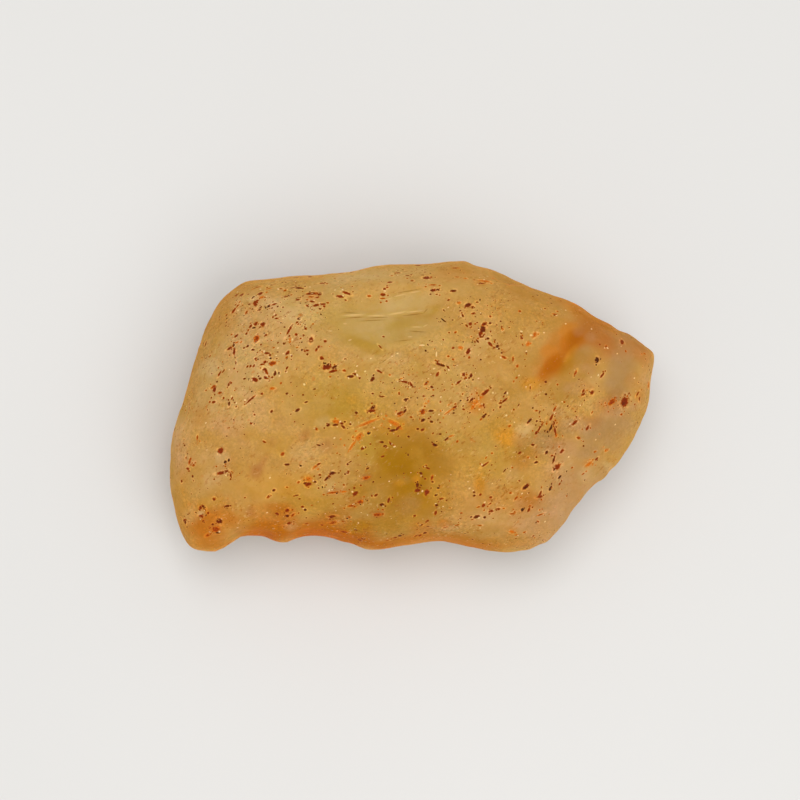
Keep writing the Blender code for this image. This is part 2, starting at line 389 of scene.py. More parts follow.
CREAM = (205, 169, 110)
BUFF = (204, 161, 104)
SAND = (200, 155, 88)
TAN = (195, 146, 78)
GINGER = (190, 134, 64)
KHAKI = (192, 153, 84)
OLIVE = (183, 141, 58)
HONEY = (190, 141, 60)
GOLD = (200, 146, 64)
BRONZE = (176, 129, 60)
DEEP_OLIVE = (168, 115, 30)
AMBER = (207, 140, 46)
RUSTY = (198, 126, 50)
STAIN = (188, 108, 34)
BURNT = (176, 97, 28)
EMBERED = (188, 96, 8)
HAZE = (168, 100, 56)
ROSE = (201, 149, 94)
LILAC = (190, 143, 94)
MAUVE = (174, 133, 86)
PLUM = (184, 122, 66)
PALE = (214, 176, 120)
MILKY = (199, 161, 97)

# Where a cloud begins to fade and where it ends, in its radii.
SOFT_EDGE = (0.35, 1.40)
CLEAR_EDGE = (0.65, 1.20)


class Cloud(NamedTuple):
    """A soft patch of colour on the upper face, partly painted light and shade, with its middle and radii in
    the photograph.
    """

    x_px: float
    y_px: float
    x_radius_px: float
    y_radius_px: float
    colour: tuple
    strength: float
    turn_deg: float = 0.0
    edge: tuple = SOFT_EDGE


# Each row gives a cloud's values in that order. Later clouds lie over earlier ones. The clouds hold the
# stone's own tones and stains, and also painted light and shade: paler where light falls, browner on the
# rim's shoulders and darker in the hollow.
TONE_AND_PAINTED_LIGHT_CLOUDS = tuple(Cloud(*row) for row in (
    # the broad fields
    (250, 385, 60, 60, BUFF, 0.7), (218, 405, 36, 30, SAND, 0.6), (285, 322, 62, 30, BUFF, 0.85, -4),
    (400, 286, 95, 22, SAND, 0.85, 4), (335, 395, 62, 36, HONEY, 0.9, -8), (312, 376, 40, 26, SAND, 0.8),
    (325, 314, 40, 22, MILKY, 0.55, -4), (470, 330, 50, 26, SAND, 0.5), (462, 395, 46, 40, SAND, 0.6),
    (515, 350, 44, 40, TAN, 0.6), (540, 310, 50, 16, GINGER, 0.45, -24), (490, 450, 46, 40, HONEY, 0.7),
    (602, 392, 48, 44, TAN, 0.8), (575, 488, 34, 34, LILAC, 0.8, 30), (505, 520, 60, 22, ROSE, 0.5),
    (545, 524, 38, 26, LILAC, 0.85, 20), (562, 448, 16, 16, LILAC, 0.6), (484, 446, 18, 13, KHAKI, 0.5),
    (512, 392, 16, 13, BRONZE, 0.4), (215, 450, 44, 54, TAN, 0.5), (210, 416, 28, 18, BUFF, 0.5),
    (275, 487, 40, 16, GOLD, 0.6), (318, 505, 36, 12, HONEY, 0.7), (385, 515, 66, 26, BRONZE, 0.75),
    # the brown shoulders along the left and upper rim, partly painted shade
    (213, 326, 12, 44, GINGER, 0.9, -24), (240, 288, 26, 10, GINGER, 0.7, 25),
    (192, 385, 9, 34, GINGER, 0.45, -18), (184, 508, 9, 22, AMBER, 0.4, 18),
    (456, 268, 24, 7, GINGER, 0.6, -3), (525, 290, 48, 9, GINGER, 0.9, -25),
    # the scoop: pale walls that are partly painted highlight, khaki floor, olive bands and streaks
    (368, 326, 66, 30, KHAKI, 0.9, -4), (404, 304, 34, 10, MILKY, 0.95, 8),
    (370, 330, 24, 9, MILKY, 0.7, -18), (402, 323, 26, 8, KHAKI, 0.6, 6), (400, 325, 14, 5, OLIVE, 0.4, 6),
    (432, 311, 10, 5, OLIVE, 0.6, 30), (366, 346, 30, 6, OLIVE, 0.65, -22), (330, 322, 16, 12, OLIVE, 0.3),
    (428, 334, 24, 9, MILKY, 0.45, 4), (400, 345, 20, 6, MILKY, 0.3, 5),
    (400, 361, 18, 7, CREAM, 0.25, -10), (416, 368, 10, 8, OLIVE, 0.35),
    # the olive field of the middle, and the deep hollow, darkened in part as painted shade
    (345, 398, 16, 14, OLIVE, 0.4), (334, 411, 22, 12, OLIVE, 0.45), (320, 400, 40, 30, OLIVE, 0.35),
    (368, 446, 14, 14, OLIVE, 0.7), (410, 463, 42, 36, DEEP_OLIVE, 0.95),
    (414, 498, 38, 26, DEEP_OLIVE, 0.8), (398, 463, 16, 14, DEEP_OLIVE, 0.6, -20),
    (446, 467, 12, 11, DEEP_OLIVE, 0.4), (384, 526, 20, 10, DEEP_OLIVE, 0.5),
    (450, 438, 12, 9, OLIVE, 0.6), (378, 498, 10, 8, BRONZE, 0.6), (366, 478, 26, 22, BRONZE, 0.6),
    (372, 448, 22, 16, OLIVE, 0.45), (280, 446, 20, 14, HONEY, 0.5), (402, 480, 10, 5, BRONZE, 0.6),
    # orange stains along the lower rim, the upper right rim and the tip
    (208, 521, 27, 22, RUSTY, 0.8), (205, 520, 12, 18, STAIN, 0.65, -24), (210, 544, 22, 8, RUSTY, 0.7),
    (262, 512, 34, 10, RUSTY, 0.6, 6), (268, 530, 30, 13, STAIN, 0.95), (285, 516, 13, 11, STAIN, 0.6),
    (318, 528, 30, 11, STAIN, 0.95), (345, 536, 20, 8, BURNT, 0.8, -12),
    (356, 528, 18, 9, STAIN, 0.55, -10), (398, 541, 38, 6, STAIN, 0.8, 6),
    (474, 542, 30, 7, STAIN, 0.85, -10), (444, 525, 7, 6, STAIN, 0.7), (584, 310, 40, 9, RUSTY, 0.9, -30),
    (600, 339, 34, 15, PLUM, 0.95, -32), (612, 327, 20, 6, STAIN, 0.5, -30),
    (634, 347, 18, 11, PLUM, 0.9, -40), (586, 361, 11, 12, PLUM, 0.6), (645, 380, 6, 28, ROSE, 0.6, -6),
    (524, 502, 12, 8, RUSTY, 0.55),
    # the blurred stain of the right-hand part: two lobes, a yellow patch between them and a dark lower edge
    (561, 352, 37, 18, STAIN, 0.75, 52), (549, 352, 10, 7, RUSTY, 0.75, -12, CLEAR_EDGE),
    (569, 329, 11, 7, RUSTY, 0.75, 25, CLEAR_EDGE), (574, 342, 18, 11, STAIN, 0.75, 52, CLEAR_EDGE),
    (552, 367, 17, 10, STAIN, 0.8, 50, CLEAR_EDGE), (576, 338, 12, 7, BURNT, 0.75, 52),
    (553, 367, 15, 8, BURNT, 0.8, 50), (572, 354, 12, 4, AMBER, 0.6, 52, CLEAR_EDGE),
    (568, 366, 15, 6, DEEP_OLIVE, 0.6, 45), (556, 341, 7, 4, GINGER, 0.45, 50),
    (543, 379, 8, 6, STAIN, 0.6),
    # yellow and orange spots
    (506, 437, 14, 10, AMBER, 0.75), (531, 384, 11, 8, AMBER, 0.65), (476, 401, 9, 13, RUSTY, 0.75, -10),
    (480, 486, 6, 14, AMBER, 0.6), (399, 483, 6, 4, AMBER, 0.55), (417, 479, 5, 5, AMBER, 0.75),
    (352, 400, 6, 5, AMBER, 0.3), (308, 480, 7, 8, AMBER, 0.7), (396, 420, 11, 7, AMBER, 0.6, -20),
    (512, 531, 6, 5, RUSTY, 0.6), (588, 464, 6, 5, RUSTY, 0.5), (482, 282, 9, 4, RUSTY, 0.5, 10),
    (290, 492, 10, 6, AMBER, 0.35), (267, 392, 9, 8, AMBER, 0.2),
    # grey, bronze and mauve clouds of the right-hand end
    (547, 437, 20, 10, BRONZE, 0.9, 10), (527, 452, 13, 9, BRONZE, 0.9, -10),
    (566, 386, 24, 17, BRONZE, 0.65, 20), (556, 399, 12, 9, BRONZE, 0.5), (588, 368, 12, 13, BRONZE, 0.6),
    (622, 366, 15, 30, MAUVE, 0.7, -6), (626, 364, 9, 16, MAUVE, 0.4), (614, 388, 14, 11, MAUVE, 0.55),
    (604, 430, 28, 14, MAUVE, 0.85, 16), (621, 414, 10, 10, MAUVE, 0.55), (582, 424, 12, 9, LILAC, 0.6),
    (582, 453, 9, 7, MAUVE, 0.5), (544, 505, 22, 9, LILAC, 0.8, 20), (612, 412, 14, 9, LILAC, 0.5),
    # paler patches between them, partly painted light
    (592, 407, 14, 9, SAND, 0.8), (303, 315, 26, 14, CREAM, 0.55, -20), (376, 274, 26, 6, PALE, 0.25, 3),
    (393, 306, 11, 5, CREAM, 0.4, 10), (249, 523, 9, 7, GOLD, 0.45), (290, 527, 7, 5, ROSE, 0.35),
    (580, 331, 7, 6, LILAC, 0.35), (350, 356, 14, 9, BUFF, 0.4), (380, 378, 34, 24, MILKY, 0.4),
    (453, 438, 9, 8, MILKY, 0.4), (180, 441, 8, 24, PALE, 0.4), (179, 478, 8, 18, AMBER, 0.3),
    (412, 520, 12, 8, GOLD, 0.25), (379, 321, 15, 8, CREAM, 0.45, 8), (212, 342, 10, 16, SAND, 0.45, -20),
    (241, 356, 14, 10, CREAM, 0.5), (268, 372, 13, 9, CREAM, 0.5), (476, 350, 12, 9, BUFF, 0.5),
    (432, 346, 28, 8, MILKY, 0.5, 5), (582, 386, 11, 8, ROSE, 0.55), (320, 406, 14, 9, SAND, 0.45),
    (180, 448, 9, 32, ROSE, 0.8), (216, 474, 13, 10, BUFF, 0.5), (192, 514, 8, 9, PALE, 0.35),
    (211, 502, 13, 6, GOLD, 0.6), (437, 491, 10, 13, GOLD, 0.6), (423, 464, 10, 8, GOLD, 0.3),
    (408, 506, 13, 10, MAUVE, 0.3), (554, 470, 10, 8, ROSE, 0.55), (593, 379, 8, 7, BUFF, 0.5),
    (524, 430, 9, 7, PALE, 0.6), (565, 446, 14, 9, LILAC, 0.6), (568, 462, 8, 10, BUFF, 0.35),
    (588, 474, 12, 9, PALE, 0.4, 30), (490, 516, 18, 8, BUFF, 0.6), (512, 474, 8, 7, BUFF, 0.45),
    (352, 276, 26, 7, CREAM, 0.45, 6), (213, 367, 8, 8, PALE, 0.45), (262, 378, 10, 8, PALE, 0.3),
    (305, 453, 15, 11, BUFF, 0.55, 10), (212, 482, 10, 8, BUFF, 0.55), (201, 457, 18, 9, BUFF, 0.35),
    (323, 485, 10, 7, PALE, 0.5), (295, 408, 14, 14, SAND, 0.5), (352, 437, 10, 10, GOLD, 0.6),
    (225, 428, 14, 12, ROSE, 0.65), (243, 436, 10, 8, ROSE, 0.6),
    # deeper patches between them, partly painted shade
    (231, 319, 11, 15, GINGER, 0.6), (258, 328, 10, 9, GINGER, 0.45), (267, 347, 9, 8, BRONZE, 0.4),
    (466, 325, 9, 8, BRONZE, 0.35), (452, 328, 8, 7, BRONZE, 0.35), (529, 314, 12, 9, BRONZE, 0.35),
    (575, 350, 7, 8, BURNT, 0.3), (398, 355, 9, 6, BRONZE, 0.4), (380, 377, 9, 7, BRONZE, 0.35),
    (617, 399, 10, 9, BURNT, 0.45), (546, 533, 9, 5, BRONZE, 0.35), (381, 545, 16, 4, EMBERED, 0.4),
    (616, 395, 11, 9, MAUVE, 0.4), (590, 324, 9, 6, PLUM, 0.35, -30), (575, 351, 7, 7, BURNT, 0.22),
    (587, 350, 7, 7, MAUVE, 0.3), (441, 476, 8, 8, DEEP_OLIVE, 0.2), (440, 451, 8, 7, DEEP_OLIVE, 0.22),
    (363, 445, 8, 10, DEEP_OLIVE, 0.18), (517, 474, 8, 7, BRONZE, 0.3), (553, 443, 8, 7, BURNT, 0.22),
    (520, 443, 8, 7, BURNT, 0.18), (614, 406, 9, 7, MAUVE, 0.35), (398, 484, 8, 7, DEEP_OLIVE, 0.3),
    (469, 373, 9, 7, BRONZE, 0.35), (544, 505, 11, 7, MAUVE, 0.35), (450, 461, 9, 8, BRONZE, 0.3),
    (187, 420, 9, 36, AMBER, 0.22), (298, 388, 11, 20, BRONZE, 0.28), (343, 425, 9, 7, AMBER, 0.25),
    (320, 481, 13, 8, DEEP_OLIVE, 0.2), (291, 496, 11, 7, DEEP_OLIVE, 0.2), (348, 506, 13, 9, STAIN, 0.22),
    (199, 510, 12, 8, AMBER, 0.22), (254, 308, 9, 8, RUSTY, 0.2), (232, 352, 7, 9, RUSTY, 0.2),
    (590, 426, 10, 8, MAUVE, 0.25), (521, 440, 10, 8, MAUVE, 0.35), (556, 411, 8, 7, MAUVE, 0.35),
    (627, 349, 11, 11, PLUM, 0.35, -40), (584, 356, 8, 9, MAUVE, 0.35),
    (277, 508, 12, 10, DEEP_OLIVE, 0.2), (604, 403, 7, 6, MAUVE, 0.4), (280, 422, 10, 8, DEEP_OLIVE, 0.22),
    (480, 488, 8, 8, BURNT, 0.22), (523, 489, 9, 8, BURNT, 0.22), (598, 472, 9, 7, BRONZE, 0.4),
    (536, 452, 9, 7, BURNT, 0.2), (434, 412, 10, 8, DEEP_OLIVE, 0.2), (215, 532, 9, 6, PLUM, 0.3),
    (545, 532, 11, 7, ROSE, 0.3), (455, 276, 38, 8, RUSTY, 0.35, 3), (312, 298, 11, 6, RUSTY, 0.32),
    (321, 328, 10, 7, BRONZE, 0.4), (593, 323, 10, 6, BURNT, 0.22, -34), (640, 397, 6, 8, RUSTY, 0.45),
    (554, 424, 9, 10, BURNT, 0.25), (484, 402, 11, 10, RUSTY, 0.35), (546, 450, 12, 9, MAUVE, 0.35),
    (280, 466, 10, 8, BRONZE, 0.42), (226, 461, 9, 12, PLUM, 0.4), (402, 424, 38, 9, DEEP_OLIVE, 0.3, -2),
    (212, 532, 11, 7, BURNT, 0.35), (324, 517, 15, 6, STAIN, 0.32), (470, 528, 15, 12, DEEP_OLIVE, 0.22),
    (504, 542, 34, 6, RUSTY, 0.5, -2), (200, 418, 13, 10, GINGER, 0.6), (251, 435, 12, 8, HONEY, 0.6),
    (480, 332, 9, 9, BURNT, 0.25), (507, 333, 14, 12, BRONZE, 0.35), (530, 356, 13, 10, BRONZE, 0.4),
    (521, 373, 11, 8, DEEP_OLIVE, 0.25), (598, 335, 27, 13, BURNT, 0.36, -34),
    (581, 315, 17, 7, BURNT, 0.28, -30), (550, 326, 10, 10, BRONZE, 0.4), (594, 352, 9, 7, BRONZE, 0.45),
    (621, 397, 11, 8, MAUVE, 0.45), (632, 382, 8, 10, PLUM, 0.35), (612, 446, 9, 9, MAUVE, 0.45, 40),
    (580, 358, 9, 8, BRONZE, 0.6), (645, 356, 7, 11, PLUM, 0.5), (607, 407, 15, 8, PLUM, 0.6),
    (500, 422, 12, 9, DEEP_OLIVE, 0.27), (466, 446, 13, 10, BRONZE, 0.55), (543, 440, 13, 11, MAUVE, 0.6),
    (566, 426, 11, 9, MAUVE, 0.6), (594, 422, 11, 8, BURNT, 0.26), (592, 450, 11, 9, MAUVE, 0.7),
    (522, 462, 11, 9, BURNT, 0.34), (505, 503, 46, 14, GINGER, 0.6), (529, 499, 14, 11, BURNT, 0.38),
    (498, 535, 38, 9, BRONZE, 0.5, -4), (391, 436, 18, 9, DEEP_OLIVE, 0.5, 10),
    (392, 429, 30, 7, AMBER, 0.28), (386, 461, 12, 17, DEEP_OLIVE, 0.75),
    (376, 478, 12, 11, DEEP_OLIVE, 0.5), (360, 491, 12, 8, DEEP_OLIVE, 0.55),
    (317, 487, 12, 8, HONEY, 0.6), (304, 503, 20, 7, DEEP_OLIVE, 0.3), (279, 509, 18, 7, STAIN, 0.45),
    (267, 529, 24, 8, STAIN, 0.8), (264, 536, 22, 7, EMBERED, 0.7), (317, 535, 30, 7, EMBERED, 0.85),
    (354, 540, 22, 6, EMBERED, 0.65, -12), (336, 515, 15, 7, BURNT, 0.36),
    (358, 527, 13, 8, DEEP_OLIVE, 0.6), (366, 538, 12, 6, BURNT, 0.65), (424, 530, 15, 10, STAIN, 0.5),
    (440, 540, 16, 6, STAIN, 0.6), (212, 543, 15, 6, BURNT, 0.3), (231, 521, 11, 8, STAIN, 0.48),
    # dark specks of the far side, seen through the glass as plum-coloured hazes
    (257, 472, 7, 8, HAZE, 0.55, -20), (249, 513, 6, 6, HAZE, 0.5), (272, 442, 5, 6, HAZE, 0.2),
    (305, 436, 5, 8, HAZE, 0.38, -30), (326, 446, 6, 7, HAZE, 0.38, -20),
    (264, 461, 4, 9, HAZE, 0.28, -35), (378, 515, 7, 4, HAZE, 0.6, 5), (366, 478, 7, 4, HAZE, 0.5, 15),
    (358, 502, 9, 5, BURNT, 0.4, 20), (335, 492, 12, 4, HAZE, 0.4, 8), (192, 461, 6, 5, ROSE, 0.6),
    (553, 458, 5, 6, PLUM, 0.4),
    # the smallest pale patches, partly painted light
    (223, 459, 8, 8, PALE, 0.5), (233, 424, 8, 7, PALE, 0.25), (609, 469, 4, 8, PALE, 0.35, 40),
    (397, 415, 10, 5, MILKY, 0.3), (395, 307, 10, 5, CREAM, 0.4, 8), (471, 395, 7, 5, PALE, 0.3),
    (246, 421, 10, 8, PALE, 0.22), (250, 374, 9, 6, CREAM, 0.35), (634, 408, 6, 6, LILAC, 0.4),
    (590, 337, 6, 5, LILAC, 0.35), (521, 504, 8, 6, LILAC, 0.35), (494, 484, 8, 6, LILAC, 0.3),
    (446, 528, 8, 5, PALE, 0.22), (323, 422, 8, 6, PALE, 0.3), (240, 511, 9, 7, KHAKI, 0.35),
    (288, 301, 8, 6, CREAM, 0.3), (337, 288, 9, 7, CREAM, 0.3), (411, 296, 14, 5, CREAM, 0.3, 10),
    (187, 428, 9, 22, PALE, 0.2), (208, 372, 8, 9, PALE, 0.3), (632, 405, 6, 6, LILAC, 0.4),
    (454, 372, 9, 7, MILKY, 0.3), (251, 381, 9, 7, CREAM, 0.35), (356, 316, 9, 5, CREAM, 0.3),
    (424, 312, 8, 4, CREAM, 0.3), (407, 315, 8, 4, MILKY, 0.4, 10), (569, 388, 9, 7, LILAC, 0.5),
    (588, 369, 8, 6, LILAC, 0.45), (416, 452, 9, 7, GOLD, 0.3), (258, 507, 9, 7, TAN, 0.35),
    (212, 504, 9, 8, SAND, 0.35), (290, 526, 7, 5, ROSE, 0.35), (201, 513, 4, 3, PALE, 0.8),
    (252, 299, 5, 3, PALE, 0.6, 30), (272, 305, 10, 6, PALE, 0.45), (244, 393, 6, 4, PALE, 0.4),
    (484, 340, 9, 7, PALE, 0.3), (370, 358, 9, 4, PALE, 0.4, 10), (398, 356, 9, 4, PALE, 0.25, 30),
))

# The clouds' edges wander by about this much along slow noise, and by a share of it along quick noise.
# Those narrower than WIDE_CLOUD_PX wander less. Each wander has a period, and the noise's places for its
# two ways.
CLOUD_WANDER_PX = 6.0
WIDE_CLOUD_PX = 20
SLOW_WANDER = (3.0, 31.0, 37.0)
QUICK_WANDER, QUICK_SHARE = (0.9, 41.0, 43.0), 0.5

# Colours that drift over the sides and the underside: the noise's period, where each begins, and its place.
DRIFTS = (
    (BUFF, 7.0, 0.02, 3.0),
    (HONEY, 6.0, 0.05, 11.0),
    (OLIVE, 3.6, 0.10, 15.0),
    (STAIN, 5.0, 0.12, 19.0),
    (MAUVE, 4.5, 0.20, 27.0),
    (AMBER, 3.0, 0.30, 33.0),
)
DRIFT_RISE, DRIFT_STRENGTH = 0.40, 0.85

# From the first facing to the second the drifting colours give way to the clouds.
CLOUD_FACING = (-0.45, -0.05)

# Painted glow: the rim's colour is made brighter and warmer, standing in for light that the thin rim lets
# through, and warmer still along a painted line at the very rim. Both have their middle at one facing, and
# fade over their reach. The glow fades more slowly below the rim.
GLOW_MIDDLE = 0.05
PAINTED_RIM_GLOW, GLOW_REACH, GLOW_REACH_BELOW = np.array((1.28, 1.06, 0.78)), 0.25, 0.50
PAINTED_RIM_LINE, LINE_REACH = np.array((1.08, 0.97, 0.90)), 0.16

# What the glass gives back of its own colour, in red, green and blue, and the white light it mirrors.
GLASS_GAIN = (0.95, 0.892, 0.875)
MIRRORED_LIGHT = 0.015
PALEST_GLASS = 0.97


def wander_of(points, period_mm, x_place, y_place):
    return np.column_stack([noise_at(points, period_mm, x_place), noise_at(points, period_mm, y_place)])


def skin_colours(points, places_px, facing):
    """The skin's colour at each point: clouds read from the photograph above, with painted light and shade
    in them, drifting noise elsewhere, and a painted glow at the rim.
    """
    slow, quick = wander_of(points, *SLOW_WANDER), wander_of(points, *QUICK_WANDER)
    upper = np.tile(srgb(TAN), (len(points), 1))
    for cloud in TONE_AND_PAINTED_LIGHT_CLOUDS:
        wander = min(1.0, min(cloud.x_radius_px, cloud.y_radius_px) / WIDE_CLOUD_PX) * CLOUD_WANDER_PX
        moved = places_px + wander * (slow + QUICK_SHARE * quick)
        out = in_ellipse(moved, *cloud[:4], cloud.turn_deg)
        share = (cloud.strength * (1 - smooth_step(*cloud.edge, out)))[:, None]
        upper += share * (srgb(cloud.colour) - upper)
    lower = np.tile(srgb(TAN), (len(points), 1))
    for colour, period, start, place in DRIFTS:
        share = smooth_step(start, start + DRIFT_RISE, noise_at(points, period, place))[:, None]
        lower += DRIFT_STRENGTH * share * (srgb(colour) - lower)
    colours = lower + smooth_step(*CLOUD_FACING, facing)[:, None] * (upper - lower)
    # Painted light: the rim is made brighter and warmer by its facing, as though lit through.
    reach = np.where(facing < GLOW_MIDDLE, GLOW_REACH_BELOW, GLOW_REACH)
    painted_glow = bell(facing, GLOW_MIDDLE, reach)[:, None]
    line = bell(facing, GLOW_MIDDLE, LINE_REACH)[:, None]
    colours = colours * (1 + painted_glow * (PAINTED_RIM_GLOW - 1)) * (1 + line * (PAINTED_RIM_LINE - 1))
    return np.clip((colours - MIRRORED_LIGHT) / GLASS_GAIN, 0.0, PALEST_GLASS)


# Specks and glints

# Tones, from the darkest speck to an orange one, and those of the glints, which are painted highlights, and
# of the lines.
BLACK, DARK, RED, RUST, ORANGE = 0.0, 0.1, 0.2, 0.3, 0.4
GLINT, PALE_LINE, OLIVE_LINE = 0.6, 0.8, 1.0
TONE_STEP = 0.1


class Speck(NamedTuple):
    """A mark on the upper face: its middle, length and width in the photograph, its turn and its tone."""

    x_px: float
    y_px: float
    long_px: float
    wide_px: float
    turn_deg: float = 0.0
    tone: float = RED


